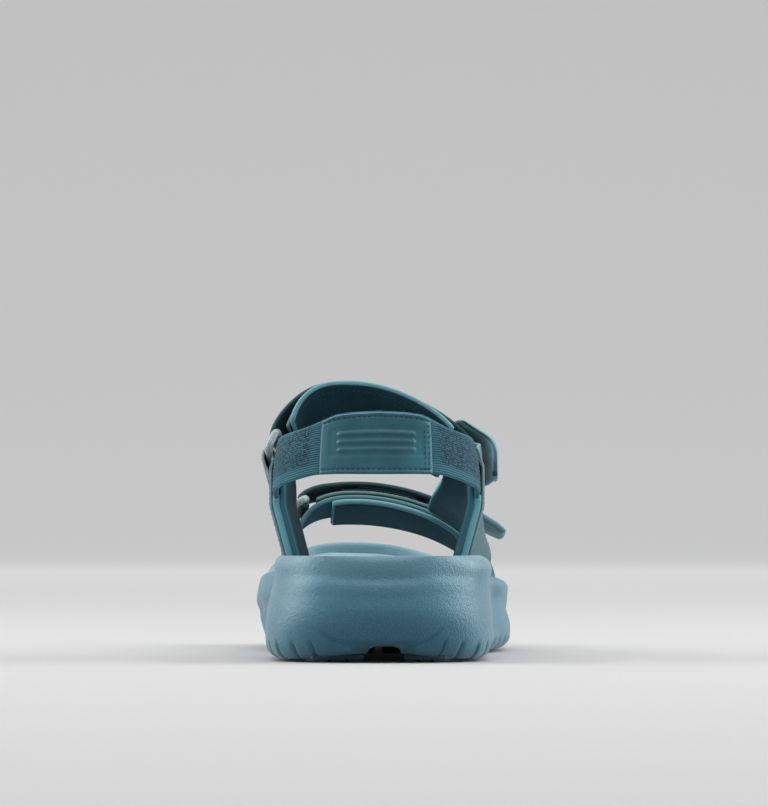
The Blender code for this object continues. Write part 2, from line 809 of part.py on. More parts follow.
def build():
    clear_scene()
    foam = midsole()
    bed = footbed()
    cut(foam, centre_groove())
    for slot in panel_slots():
        cut(foam, slot)
        cut(bed, slot)
    for slot in forefoot_slots():
        cut(foam, slot)
        cut(bed, slot)
    tread_pad("outsole_heel_medial", -1, 12, 104, 8, 3, -5.5)
    tread_pad("outsole_heel_lateral", 1, 12, 104, 8, 3, 9.5)
    tread_pad("outsole_forefoot_medial", -1, 138, 262, 11, 3, -2.0)
    tread_pad("outsole_forefoot_lateral", 1, 138, 262, 11, 3, 1.0)
    heel_strap()
    side_panels()
    instep_strap()
    forefoot_strap()


build()
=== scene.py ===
"""Looks of the strappy sport sandal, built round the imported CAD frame.

Shapes are worked out in foot coordinates, millimetres: x towards the outer side of the foot, y from the
back of the heel to the toe, z up from the ground.  to_model() puts them on the CAD model's boxes.
"""
import bisect
import functools
import math

import bmesh
import bpy
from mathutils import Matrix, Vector


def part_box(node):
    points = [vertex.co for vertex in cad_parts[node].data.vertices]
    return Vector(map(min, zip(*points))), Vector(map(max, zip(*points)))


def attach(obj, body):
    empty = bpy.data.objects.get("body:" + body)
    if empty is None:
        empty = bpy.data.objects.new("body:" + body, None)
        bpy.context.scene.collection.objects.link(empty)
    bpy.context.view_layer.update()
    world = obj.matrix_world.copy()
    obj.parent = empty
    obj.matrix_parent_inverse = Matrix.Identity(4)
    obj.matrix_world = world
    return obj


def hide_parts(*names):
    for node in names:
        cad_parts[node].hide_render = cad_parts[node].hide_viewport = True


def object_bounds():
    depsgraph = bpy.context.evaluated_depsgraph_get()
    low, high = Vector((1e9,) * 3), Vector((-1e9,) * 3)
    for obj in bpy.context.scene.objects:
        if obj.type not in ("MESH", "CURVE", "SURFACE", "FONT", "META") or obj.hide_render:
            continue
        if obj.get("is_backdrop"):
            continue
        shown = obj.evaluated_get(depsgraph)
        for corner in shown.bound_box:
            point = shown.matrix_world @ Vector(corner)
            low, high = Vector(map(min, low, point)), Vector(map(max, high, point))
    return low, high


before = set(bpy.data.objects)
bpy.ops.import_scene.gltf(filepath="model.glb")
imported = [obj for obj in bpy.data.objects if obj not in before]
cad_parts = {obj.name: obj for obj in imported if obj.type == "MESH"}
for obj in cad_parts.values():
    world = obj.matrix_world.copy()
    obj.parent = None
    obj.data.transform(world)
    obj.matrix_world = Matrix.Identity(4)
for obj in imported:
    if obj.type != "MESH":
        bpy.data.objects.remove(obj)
CAD_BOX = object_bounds()

MM = 0.001
SOLE_LENGTH = 290.0
GAP = 0.3
FOREFOOT_LATERAL_X = 54.5
SOLE_BODY = "sole_and_upper"
HEEL_BODY = "heel_strap"

# Layers above the foot form, inner and outer distance
PAD = (-2.6, -0.3)
LINING = (0.0, 2.2)
CORE = (2.2, 4.88)
WEBBING = (2.7, 4.2)
ELASTIC = (2.5, 4.5)
PATCH = (4.8, 6.0)
PANEL = (4.9, 6.2)
LOOP_PAD = (4.5, 5.2)
HOOK_PAD = (5.5, 6.3)
FLAP = (6.6, 8.2)
PULL_TAB = (8.7, 11.5)
KEEPER_THICKNESS = 1.2
BAR_RADIUS = 1.6
WRAP = (BAR_RADIUS + GAP, BAR_RADIUS + GAP + WEBBING[1] - WEBBING[0])
KEEPER_WRAP = (BAR_RADIUS + GAP, BAR_RADIUS + GAP + KEEPER_THICKNESS)
RING_PITCH = 8.6
KEEPER_RISE = 8.0
KEEPER_WRAP_END = 255.0
OUTSOLE = 2.7
FULL_WIDTH = (0.0, 1.0)

midsole_low, midsole_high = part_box("midsole")
tread_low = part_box("outsole_heel_medial")[0]
ORIGIN = Vector((midsole_high.x - FOREFOOT_LATERAL_X * MM, midsole_low.y, tread_low.z))


# Helpers

def to_model(point):
    return ORIGIN + Vector(point) * MM


def smooth(table, at):
    """The value at a place, on a smooth curve through a short table of (place, value)."""
    if at <= table[0][0]:
        return table[0][1]
    if at >= table[-1][0]:
        return table[-1][1]
    k = max(i for i in range(len(table) - 1) if table[i][0] <= at)
    before = table[max(k - 1, 0)]
    here, there = table[k], table[k + 1]
    after = table[min(k + 2, len(table) - 1)]
    span = there[0] - here[0]
    slope_here = (there[1] - before[1]) / (there[0] - before[0]) * span
    slope_there = (after[1] - here[1]) / (after[0] - here[0]) * span
    t = (at - here[0]) / span
    return (
        (2 * t ** 3 - 3 * t ** 2 + 1) * here[1]
        + (t ** 3 - 2 * t ** 2 + t) * slope_here
        + (3 * t ** 2 - 2 * t ** 3) * there[1]
        + (t ** 3 - t ** 2) * slope_there
    )


def mix(a, b, t):
    return a + (b - a) * t


def fade(low, high, at):
    t = min(max((at - low) / (high - low), 0.0), 1.0)
    return t * t * (3 - 2 * t)


def bump(centre, width, at):
    return math.exp(-((at - centre) / width) ** 2)


def spread(first, last, count):
    return [mix(first, last, i / (count - 1)) for i in range(count)]


# Materials

class Paint:
    """A procedural material being put together."""

    def __init__(self, name, roughness, sheen=0.0, specular=0.4):
        self.made = bpy.data.materials.new(name)
        self.made.use_nodes = True
        self.tree = self.made.node_tree
        self.shader = self.tree.nodes["Principled BSDF"]
        self.set("Roughness", roughness)
        self.set("Specular IOR Level", specular)
        self.set("Sheen Weight", sheen)
        self.set("Sheen Roughness", 0.45)
        self.set("Sheen Tint", (0.75, 0.88, 0.92, 1.0))
        self.place = self.node("TexCoord")

    def set(self, name, value):
        if isinstance(value, bpy.types.NodeSocket):
            self.tree.links.new(value, self.shader.inputs[name])
        else:
            self.shader.inputs[name].default_value = value

    def node(self, kind, inputs=None, **settings):
        made = self.tree.nodes.new("ShaderNode" + kind)
        for key, value in settings.items():
            setattr(made, key, value)
        for key, value in (inputs or {}).items():
            if isinstance(value, bpy.types.NodeSocket):
                self.tree.links.new(value, made.inputs[key])
            else:
                made.inputs[key].default_value = value
        return made

    def math(self, operation, a, b=0.0, clamp=False):
        return self.node("Math", {0: a, 1: b}, operation=operation, use_clamp=clamp).outputs[0]

    def between(self, value, low, high, first=0.0, last=1.0):
        return self.node("MapRange", {"Value": value, "From Min": low, "From Max": high, "To Min": first,
                                      "To Max": last}, interpolation_type="SMOOTHSTEP").outputs[0]

    def blend(self, factor, a, b):
        made = self.node("Mix", {0: factor, 6: (*a, 1.0) if isinstance(a, tuple) else a,
                                 7: (*b, 1.0) if isinstance(b, tuple) else b}, data_type="RGBA")
        return made.outputs[2]

    def stain(self, tone, value, low, high, colour, amount=1.0):
        """A tone that turns to another colour, by an amount, as a value goes from low to high."""
        return self.blend(self.between(value, low, high, 0.0, amount), tone, colour)

    def edged(self, tone, colour, low, high):
        """Another colour along a band's edges and ends."""
        rim = self.node("Attribute", attribute_name="edge").outputs["Fac"]
        return self.blend(self.between(rim, low, high, 1.0, 0.0), tone, colour)

    def noise(self, scale, detail=3.0, vector=None):
        return self.node("TexNoise", {"Vector": vector or self.place.outputs["Object"], "Scale": scale,
                                      "Detail": detail}).outputs[0]

    def cells(self, scale, vector=None):
        return self.node("TexVoronoi", {"Vector": vector or self.place.outputs["Object"],
                                        "Scale": scale}).outputs["Distance"]

    def along(self):
        """Millimetres along and across a band."""
        split = self.node("SeparateXYZ", {0: self.place.outputs["UV"]}).outputs
        return self.math("MULTIPLY", split[0], 1 / MM), self.math("MULTIPLY", split[1], 1 / MM)

    def wave(self, value, pitch):
        return self.math("SINE", self.math("MULTIPLY", value, 2 * math.pi / pitch))

    def edge_highlight_or_on_foot(self, colour, light, amount=0.35):
        """Painted highlight: convex edges, found by pointiness, made a little lighter."""
        point = self.node("NewGeometry").outputs["Pointiness"]
        edge = self.between(point, 0.52, 0.6, 0.0, amount)
        return self.blend(edge, colour, light)

    def bumped(self, height, strength, distance=0.0004, onto=None):
        inputs = {"Height": height, "Strength": strength, "Distance": distance}
        if onto is not None:
            inputs["Normal"] = onto
        return self.node("Bump", inputs).outputs[0]


def foam_paint(name, colour, light, dark, roughness=0.46, grain=1.0, depth_or_painted_shade=None):
    """Moulded foam with a fine pebbled grain. With a shade colour given, painted shade low on the sides,
    strongest near the middle, and a painted highlight on the upper band.
    """
    paint = Paint(name, roughness, sheen=0.3, specular=0.62)
    paint.set("Sheen Tint", (1.0, 0.93, 0.9, 1.0))
    clouds = paint.noise(38.0, 4.0)
    tone = paint.stain(dark, clouds, 0.35, 0.65, colour)
    # Painted shade: the sides from 2 to 27 mm up darken towards the shade colour, most within 18 mm of the
    # middle; painted light then lightens them above 30 mm.
    if depth_or_painted_shade:
        split = paint.node("SeparateXYZ", {0: paint.place.outputs["Object"]})
        low = paint.math("MULTIPLY", paint.between(split.outputs[2], 0.002, 0.009),
                         paint.between(split.outputs[2], 0.01, 0.027, 1.0, 0.0))
        inner = paint.between(paint.math("ABSOLUTE", split.outputs[0]), 0.018, 0.04, 1.0, 0.25)
        tone = paint.blend(paint.math("MULTIPLY", low, inner), tone, depth_or_painted_shade)
        tone = paint.stain(tone, split.outputs[2], 0.03, 0.04, light, 0.35)
    speck = paint.noise(2600.0, 2.0)
    tone = paint.stain(tone, speck, 0.45, 0.75, light, 0.35)
    # Painted highlight on the foam's convex edges.
    paint.set("Base Color", paint.edge_highlight_or_on_foot(tone, light, 0.45))
    pebbles = paint.cells(1500.0)
    normal = paint.bumped(pebbles, 0.32 * grain, 0.0003)
    normal = paint.bumped(paint.noise(620.0, 3.0), 0.25 * grain, 0.0005, normal)
    paint.set("Normal", normal)
    patches = paint.noise(900.0, 2.0)
    paint.set("Roughness", paint.between(patches, 0.3, 0.7, roughness - 0.05, roughness + 0.12))
    return paint.made


def rubber_paint(name, colour, light):
    paint = Paint(name, 0.6)
    dust = paint.between(paint.noise(120.0, 5.0), 0.45, 0.75, 0.0, 0.5)
    # Dust in patches, and a painted highlight on the convex edges.
    paint.set("Base Color", paint.edge_highlight_or_on_foot(paint.blend(dust, colour, light), light, 0.4))
    paint.set("Normal", paint.bumped(paint.noise(1800.0, 3.0), 0.4, 0.0003))
    return paint.made


def woven_paint(name, warp, weft, pitch, edge):
    """Woven webbing: crossing yarns seen in colour and in relief."""
    paint = Paint(name, 0.8, sheen=0.1, specular=0.25)
    u, v = paint.along()
    over = paint.math("MULTIPLY", paint.wave(u, pitch * 1.35), paint.wave(v, pitch))
    yarn = paint.noise(1.0, 3.0, paint.node("CombineXYZ", {0: paint.math("MULTIPLY", u, 0.25),
                                                            1: paint.math("MULTIPLY", v, 2.2)}).outputs[0])
    tone = paint.stain(weft, over, -0.5, 0.6, warp)
    shade = tuple(c * 0.55 for c in weft)
    tone = paint.stain(tone, yarn, 0.48, 0.72, shade, 0.55)
    tone = paint.stain(tone, paint.noise(60.0, 3.0), 0.4, 0.7, shade, 0.25)
    tone = paint.edged(tone, edge, 0.25, 0.75)
    paint.set("Base Color", tone)
    ridge = paint.math("ADD", over, paint.math("MULTIPLY", paint.wave(v, pitch), 0.5))
    normal = paint.bumped(ridge, 0.42, 0.00018)
    paint.set("Normal", paint.bumped(paint.noise(2400.0, 2.0), 0.25, 0.0002, normal))
    return paint.made


def lining_paint(name, colour, light, rolled):
    """Soft lining cloth over foam: a fine closed mesh, with its rolled edges in a colour of their own."""
    paint = Paint(name, 0.82, sheen=0.05, specular=0.2)
    u, v = paint.along()
    mesh = paint.math("MULTIPLY", paint.wave(paint.math("ADD", u, v), 1.1),
                      paint.wave(paint.math("SUBTRACT", u, v), 1.1))
    tone = paint.stain(colour, mesh, -0.6, 0.6, light, 0.5)
    dark = tuple(c * 0.6 for c in colour)
    tone = paint.stain(tone, paint.noise(45.0, 4.0), 0.42, 0.68, dark, 0.45)
    tone = paint.edged(tone, rolled, 0.1, 0.8)
    # Painted highlight on the cloth's convex edges.
    paint.set("Base Color", paint.edge_highlight_or_on_foot(tone, light, 0.5))
    normal = paint.bumped(mesh, 0.35, 0.00015)
    paint.set("Normal", paint.bumped(paint.noise(1700.0, 3.0), 0.3, 0.0003, normal))
    return paint.made


def knit_paint(name):
    """Ribbed elastic: long ribs at both edges and dark flecks in rows between them."""
    teal, navy, pale = (0.016, 0.108, 0.148), (0.004, 0.032, 0.052), (0.066, 0.23, 0.285)
    paint = Paint(name, 0.72, sheen=0.04, specular=0.3)
    u, v = paint.along()
    row = paint.math("FLOOR", paint.math("DIVIDE", v, 0.62))
    dash = paint.noise(1.0, 1.0, paint.node("CombineXYZ", {
        0: paint.math("MULTIPLY", u, 0.75), 1: paint.math("MULTIPLY", row, 7.31)}).outputs[0])
    flecks = paint.between(dash, 0.45, 0.51)
    middle = paint.math("MULTIPLY", paint.between(v, 3.4, 5.2), paint.between(v, 18.4, 20.2, 1.0, 0.0))
    reach = paint.math("SUBTRACT", u, KNIT_MIDDLE)
    clear = paint.math("MAXIMUM", paint.between(reach, -30.5, -26.5, 1.0, 0.0),
                       paint.between(reach, 22.5, 26.5))
    flecks = paint.math("MULTIPLY", paint.math("MULTIPLY", flecks, middle), clear)
    ribs = paint.wave(v, 0.88)
    tone = paint.stain(teal, ribs, -0.4, 0.8, pale, 0.55)
    tone = paint.blend(paint.math("MULTIPLY", middle, 0.65), tone, teal)
    tone = paint.blend(paint.math("MULTIPLY", flecks, 0.95), tone, navy)
    tone = paint.stain(tone, paint.noise(70.0, 3.0), 0.4, 0.7, navy, 0.25)
    paint.set("Base Color", tone)
    stitch = paint.math("MULTIPLY", paint.wave(u, 1.1), paint.wave(v, 1.24))
    height = paint.math("ADD", paint.math("MULTIPLY", ribs, 0.8), paint.math("MULTIPLY", stitch, 0.5))
    height = paint.math("SUBTRACT", height, paint.math("MULTIPLY", flecks, 0.9))
    normal = paint.bumped(height, 0.8, 0.00022)
    paint.set("Normal", paint.bumped(paint.noise(2200.0, 2.0), 0.3, 0.0002, normal))
    return paint.made


def leather_paint(name, colour, light, roughness=0.5, grain=1.0, specular=0.4, edge_highlight_amount=0.6, behind=None):
    """Smooth coated leather or satin moulded plastic; behind is a painted shade colour for faces turned to
    the heel.
    """
    paint = Paint(name, roughness, sheen=0.05, specular=specular)
    dark = tuple(c * 0.72 for c in colour)
    tone = paint.stain(dark, paint.noise(55.0, 4.0), 0.35, 0.7, colour)
    tone = paint.stain(tone, paint.noise(1900.0, 2.0), 0.5, 0.75, light, 0.3)
    # Painted highlight on convex edges.
    tone = paint.edge_highlight_or_on_foot(tone, light, edge_highlight_amount)
    # Painted shade on faces turned towards the heel, by their object-space normal.
    if behind:
        split = paint.node("SeparateXYZ", {0: paint.place.outputs["Normal"]})
        tone = paint.blend(paint.between(split.outputs[1], -0.93, -0.78, 1.0, 0.0), tone, behind)
    paint.set("Base Color", tone)
    normal = paint.bumped(paint.cells(1150.0), 0.16 * grain, 0.0002)
    paint.set("Normal", paint.bumped(paint.noise(300.0, 4.0), 0.2 * grain, 0.0004, normal))
    patches = paint.noise(240.0, 3.0)
    paint.set("Roughness", paint.between(patches, 0.3, 0.7, roughness - 0.06, roughness + 0.1))
    return paint.made


def pile_paint(name, colour, light):
    """Hook-and-loop tape: tangled loops or rows of hooks."""
    paint = Paint(name, 0.95, sheen=0.15, specular=0.1)
    tangle = paint.noise(2600.0, 5.0)
    paint.set("Base Color", paint.stain(colour, tangle, 0.35, 0.7, light))
    normal = paint.bumped(tangle, 0.9, 0.0006)
    paint.set("Normal", paint.bumped(paint.cells(1300.0), 0.6, 0.0004, normal))
    return paint.made


def thread_paint(name, colour, light):
    paint = Paint(name, 0.6, sheen=0.1)
    twist = paint.noise(4200.0, 2.0)
    paint.set("Base Color", paint.stain(colour, twist, 0.35, 0.7, light))
    paint.set("Normal", paint.bumped(twist, 0.5, 0.0002))
    return paint.made


# Meshes

def finish_piece(name, mesh, body, slot, paint, nodes=()):
    mesh.materials.append(paint)
    made = bpy.data.objects.new(name, mesh)
    bpy.context.scene.collection.objects.link(made)
    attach(made, body)
    if nodes:
        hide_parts(*nodes)
    return made


def new_mesh(name, points, faces, uvs=None, edge=None, sharp=40.0):
    """A mesh from points in foot coordinates, with millimetres along and across it and its edge share."""
    mesh = bpy.data.meshes.new(name)
    mesh.from_pydata([to_model(p) for p in points], [], faces)
    if uvs:
        layer = mesh.uv_layers.new(name="UVMap")
        for loop in mesh.loops:
            u, v = uvs[loop.vertex_index]
            layer.data[loop.index].uv = (u * MM, v * MM)
    if edge:
        mesh.attributes.new("edge", "FLOAT", "POINT").data.foreach_set("value", edge)
    shape = bmesh.new()
    shape.from_mesh(mesh)
    bmesh.ops.recalc_face_normals(shape, faces=shape.faces)
    shape.to_mesh(mesh)
    shape.free()
    mesh.shade_smooth()
    mesh.set_sharp_from_angle(angle=math.radians(sharp))
    return mesh


def tube_faces(count, rings, start=0, closed=False):
    """Faces through rings of points, with both ends filled unless the rings close on themselves."""
    faces = []
    if not closed:
        last = start + (rings - 1) * count
        faces += [tuple(range(start, start + count)), tuple(range(last + count - 1, last - 1, -1))]
    for k in range(rings if closed else rings - 1):
        low, high = start + k * count, start + (k + 1) % rings * count
        for i in range(count):
            j = (i + 1) % count
            faces.append((low + i, low + j, high + j, high + i))
    return faces


def grid_faces(index, rows, columns):
    """Faces of a sheet whose point numbers are index(row, column)."""
    return [(index(i, j), index(i, j + 1), index(i + 1, j + 1), index(i + 1, j))
            for i in range(rows - 1) for j in range(columns - 1)]


def loft(name, loops, across, edges):
    """A closed tube through loops of equal length; across holds each loop point's millimetres across."""
    count = len(loops[0])
    points = [p for loop in loops for p in loop]
    run, uvs, edge = 0.0, [], []
    for k, loop in enumerate(loops):
        middle = sum(loop, Vector((0, 0, 0))) / count
        if k:
            run += (middle - before).length
        before = middle
        uvs += [(run, a) for a in across[k]]
        edge += edges[k]
    return new_mesh(name, points, tube_faces(count, len(loops)), uvs, edge, BAND_SHARP)


BAND_SHARP = 50.0
EDGE_TURNS = (65, 40, 14, -14, -40, -65)
FLAT_FACE = 0.97


def crown(share):
    return (4 * share * (1 - share)) ** 0.6 if 0 < share < 1 else 0.0


def section(place, at, span, layer, rounding, columns, flat=1.0, narrow=0.0, swell=(0.0, 0.0)):
    """One closed loop across a band, with rounded edges."""
    face = 1.0 if flat > FLAT_FACE else 0.0
    low, high = layer(at) if callable(layer) else layer
    middle, half = (low + high) / 2, (high - low) / 2 * flat
    first, last = span(at) if callable(span) else span
    width = (place(at, first, middle) - place(at, last, middle)).length
    per_mm = (last - first) / width
    first, last = first + narrow * per_mm, last - narrow * per_mm
    curl = min(rounding * per_mm, (last - first) * 0.45)
    loop, across, edge = [], [], []

    def add(share, height, rim):
        loop.append(place(at, share, height))
        across.append(share / per_mm)
        edge.append(rim)

    shares = spread(first + curl, last - curl, columns)
    for way, end, bulge in ((1, last, swell[1]), (-1, first, swell[0])):
        for share in shares[::way]:
            height = half + bulge * flat * crown((share - first) / (last - first))
            add(share, middle + way * height, face)
        for turn in EDGE_TURNS:
            angle = math.radians(way * turn)
            add(end - way * curl * (1 - math.cos(angle)), middle + half * math.sin(angle), 0.0)
    return loop, across, edge


def end_steps(rounding, corner):
    """Distances from a band's end with how flat and how narrow it is there."""
    steps = []
    reach = max(rounding, corner)
    for turn in (0, 12, 25, 40, 55, 72, 90):
        away = reach * (1 - math.cos(math.radians(turn)))
        flat = math.sqrt(max(1 - (1 - min(away / rounding, 1.0)) ** 2, 0.0))
        narrow = corner - math.sqrt(max(corner ** 2 - max(corner - away, 0.0) ** 2, 0.0)) if corner else 0.0
        steps.append((away, max(flat, 0.25), narrow))
    return steps


def band(name, place, first, last, span, layer, rounding=0.6, count=60, columns=7, swell=(0.0, 0.0),
         corners=(0.0, 0.0), before=()):
    """A ribbon along place(at, share across, height), with rounded edges, ends and corners."""
    middle = sum(layer(first) if callable(layer) else layer) / 2
    speed = [(place(a + d, 0.5, middle) - place(a, 0.5, middle)).length / abs(d)
             for a, d in ((first, (last - first) * 0.01), (last, (first - last) * 0.01))]
    way = 1 if last > first else -1
    stations = []
    for away, flat, narrow in end_steps(rounding, corners[0]):
        stations.append((first + way * away / speed[0], flat, narrow))
    for away, flat, narrow in end_steps(rounding, corners[1]):
        stations.append((last - way * away / speed[1], flat, narrow))
    reach = [max(rounding, c) / s for c, s in zip(corners, speed)]
    for at in spread(first, last, count):
        if abs(at - first) > reach[0] * 1.05 and abs(at - last) > reach[1] * 1.05:
            stations.append((at, 1.0, 0.0))
    stations.sort(key=lambda s: s[0] * way)
    if before:
        stations = [s for s in stations if abs(s[0] - first) > reach[0] * 0.5]
    rows = [section(place, at, span, layer, rounding, columns, flat, narrow, swell)
            for at, flat, narrow in stations]
    rows = list(before) + rows
    return loft(name, [r[0] for r in rows], [r[1] for r in rows], [r[2] for r in rows])


def stitching(name, paths, body, slot, paint, pitch=2.1, length=1.5, radius=0.24):
    """Rows of thread: each path is a list of (point, direction off the surface)."""
    points, faces = [], []
    rings, sides = 5, 6
    for path in paths:
        places = [0.0]
        for (a, _), (b, _) in zip(path, path[1:]):
            places.append(places[-1] + (b - a).length)

        def along(run):
            k = min(max(bisect.bisect_right(places, run) - 1, 0), len(path) - 2)
            t = (run - places[k]) / max(places[k + 1] - places[k], 1e-9)
            return path[k][0].lerp(path[k + 1][0], t), path[k][1].lerp(path[k + 1][1], t).normalized()

        for number in range(int(places[-1] / pitch)):
            start = number * pitch
            base = len(points)
            for ring in range(rings):
                t = ring / (rings - 1)
                spot, off = along(start + t * length)
                ahead, _ = along(start + t * length + 0.05)
                forward = (ahead - spot).normalized()
                side = forward.cross(off).normalized()
                thick = radius * (0.45 + 0.55 * math.sin(math.pi * t))
                spot = spot + off * radius * (1.5 * math.sin(math.pi * t) - 0.9)
                for k in range(sides):
                    turn = 2 * math.pi * k / sides
                    points.append(spot + (side * math.cos(turn) + off * math.sin(turn) * 0.8) * thick)
            faces += tube_faces(sides, rings, base)
    return finish_piece(name, new_mesh(name, points, faces), body, slot, paint)


def seam(place, ats, shares, height):
    """A stitch path over a band; either the places along it or the shares across it may be one number."""
    if not isinstance(ats, list):
        ats = [ats] * len(shares)
    if not isinstance(shares, list):
        shares = [shares] * len(ats)
    path = []
    for at, share in zip(ats, shares):
        spot = place(at, share, height)
        path.append((spot, (place(at, share, height + 0.5) - spot).normalized()))
    return path


def inward(paths):
    return [[(spot, -off) for spot, off in path] for path in paths]


# Foot form

FORM = {
    "medial": ((60, 36.5), (80, 36.5), (92, 35), (118, 33), (140, 31), (165, 34), (195, 40), (215, 41)),
    "lateral": ((60, 34.9), (92, 34.9), (118, 35.4), (140, 37.3), (165, 41), (195, 45), (215, 45)),
    "shoulder": ((60, 76), (92, 72), (118, 56), (140, 45), (165, 36), (195, 27), (215, 24)),
    "top": ((60, 150), (80, 123), (92, 108), (118, 80.5), (140, 69), (165, 61.5), (195, 54), (215, 48)),
    "ridge": ((60, -8), (92, -10), (165, -9), (215, -9)),
    "medial_power": ((60, 4.5), (80, 4.0), (92, 2.95), (118, 2.5), (165, 2.7), (215, 2.7)),
    "lateral_power": ((60, 4.5), (80, 4.0), (92, 1.93), (118, 1.78), (215, 1.75)),
}
LEAN_START = 60.0
LEAN = 0.27
FLARE_START = 42.0
FLARE = 0.25
ANKLE_LEAN = (2.8, 3.6)  # medial and lateral
ANKLE_LEAN_FOOT = 64.0
ANKLE_LEAN_RISE = 24.0


def lean(y, z, shoulder):
    """How far the side of the form moves out below its shoulder, negative where it leans in."""
    inward = -LEAN * max(min(LEAN_START, shoulder) - z, 0.0)
    outward = FLARE * max(min(FLARE_START, shoulder) - z, 0.0)
    return mix(inward, outward, fade(148, 166, y))


def ankle_lean(x, y, z):
    """How far the sides lean in towards the top, round the ankle only."""
    most = ANKLE_LEAN[0 if x < 0 else 1]
    rise = min(max((z - ANKLE_LEAN_FOOT) / ANKLE_LEAN_RISE, 0.0), 1.1)
    return math.copysign(most * rise ** 2 * fade(14, 36, abs(x)) * (1 - fade(74, 94, y)), x)


@functools.lru_cache(None)
def form_section(y, side):
    half_name, power_name = ("medial", "medial_power") if side < 0 else ("lateral", "lateral_power")
    ridge = smooth(FORM["ridge"], y)
    half = smooth(FORM[half_name], y) - side * ridge
    shoulder = smooth(FORM["shoulder"], y)
    rise = smooth(FORM["top"], y) - shoulder
    return ridge, half, shoulder, rise, smooth(FORM[power_name], y)


def last_point(y, angle):
    """A point of the foot form: angle in degrees from straight up, negative to the medial side."""
    side = -1 if angle < 0 else 1
    ridge, half, shoulder, rise, power = form_section(y, side)
    turn = math.radians(abs(angle))
    if turn <= math.pi / 2:
        reach = (math.sin(turn) / half) ** power + (math.cos(turn) / rise) ** power
        reach = reach ** (-1 / power)
        x, z = ridge + side * reach * math.sin(turn), shoulder + reach * math.cos(turn)
        return Vector((x - ankle_lean(x, y, z), y, z))
    z = shoulder - (turn - math.pi / 2) * half
    return Vector((ridge + side * (half + lean(y, z, shoulder)), y, z))


def angle_at(y, side, z):
    """The signed angle at which the form's side is at height z."""
    ridge, half, shoulder, rise, power = form_section(y, side)
    if z < shoulder:
        return side * math.degrees(math.pi / 2 + (shoulder - z) / half)
    share = min((z - shoulder) / rise, 1.0)
    out = half * (1 - share ** power) ** (1 / power)
    return side * math.degrees(math.atan2(out, z - shoulder))


@functools.lru_cache(None)
def last_frame(y, angle):
    step_y, step_angle = 0.5, 0.5
    along = last_point(y + step_y, angle) - last_point(y - step_y, angle)
    around = last_point(y, angle + step_angle) - last_point(y, angle - step_angle)
    return last_point(y, angle), along.cross(around).normalized() * -1


def raised(y, angle, height):
    spot, normal = last_frame(y, angle)
    return spot + normal * height


# Sole

SOLE_HALF = (
    ((0, 44), (45, 43.7), (80, 44), (110, 39.5), (135, 38), (160, 44), (175, 49), (195, 51.3), (215, 50),
     (240, 45.5), (290, 41)),
    ((0, 44), (45, 43.7), (80, 44.2), (110, 43.5), (140, 46.5), (158, 51), (172, 53.5), (195, 54.7),
     (215, 55.3), (290, 55)),
)
RIM_HEIGHT = (
    ((0, 40.2), (50, 40.2), (80, 39.8), (110, 40.0), (150, 35.5), (190, 32.0), (230, 33.0), (270, 38.5),
     (290, 44.6)),
    ((0, 40.2), (50, 40.2), (80, 39.0), (110, 37.0), (150, 31.8), (190, 29.6), (230, 31.2), (270, 37.5),
     (290, 44.6)),
)
FOOTBED_DISH = ((0, 8.5), (60, 8.5), (120, 6.0), (190, 4.0), (290, 5.0))
TOE_DRIFT = -12.0
TOE_LIFT = 20.0
HEEL_LIFT = 2.2
HEEL_ROUND = 45.0
TOE_ROUND = (48.0, 80.0)
RECESS_INSET = 7.8
FOOTBED_THICKNESS = 6.0


def toe_drift(y):
    return TOE_DRIFT * max((y - 190.0) / 100.0, 0.0) ** 1.5


def end_rounding(y, side):
    """1 along the sole, falling to 0 at its two ends."""
    toe_round = TOE_ROUND[0] if side < 0 else TOE_ROUND[1]
    if y < HEEL_ROUND:
        share, power = (HEEL_ROUND - y) / HEEL_ROUND, 2.4
    elif y > SOLE_LENGTH - toe_round:
        share, power = (y - SOLE_LENGTH + toe_round) / toe_round, 2.3
    else:
        return 1.0
    return max(1 - share ** power, 0.0) ** (1 / power)


def sole_edge(y, side):
    half = smooth(SOLE_HALF[0 if side < 0 else 1], y)
    return toe_drift(y) + side * half * end_rounding(y, side)


def ground(y):
    """Height of the tread's face: the sole curls up at both ends."""
    heel = HEEL_LIFT * (max(15.0 - y, 0.0) / 15.0) ** 2
    toe = TOE_LIFT * (max(y - 215.0, 0.0) / 75.0) ** 1.8
    return heel + toe


def rim(y, side):
    return smooth(RIM_HEIGHT[0 if side < 0 else 1], y)


def footbed_centre(y):
    return (rim(y, -1) + rim(y, 1)) / 2 - smooth(FOOTBED_DISH, y)


OUTLINE_POINTS = 430
HEEL_DENSITY = 2.6


@functools.lru_cache(None)
def outline():
    """Places round the sole, closer together at the heel: (x, y, outward direction, side)."""
    steps = 900
    ys = [SOLE_LENGTH / 2 * (1 - math.cos(math.pi * i / steps)) for i in range(steps + 1)]
    raw = [(sole_edge(y, 1), y, 1) for y in ys] + [(sole_edge(y, -1), y, -1) for y in ys[1:-1][::-1]]
    raw.append(raw[0])
    runs = [0.0]
    for a, b in zip(raw, raw[1:]):
        weight = mix(HEEL_DENSITY, 1.0, fade(40, 70, (a[1] + b[1]) / 2))
        runs.append(runs[-1] + math.dist(a[:2], b[:2]) * weight)
    found = []
    for i in range(OUTLINE_POINTS):
        want = runs[-1] * i / OUTLINE_POINTS
        k = min(bisect.bisect_right(runs, want) - 1, len(raw) - 2)
        t = (want - runs[k]) / (runs[k + 1] - runs[k])
        a, b = raw[k], raw[k + 1]
        found.append((mix(a[0], b[0], t), mix(a[1], b[1], t), a[2]))
    out = []
    for i, (x, y, side) in enumerate(found):
        before, after = found[i - 2], found[(i + 2) % len(found)]
        along = Vector((after[0] - before[0], after[1] - before[1])).normalized()
        out.append((x, y, Vector((along.y, -along.x)), side))
    return out


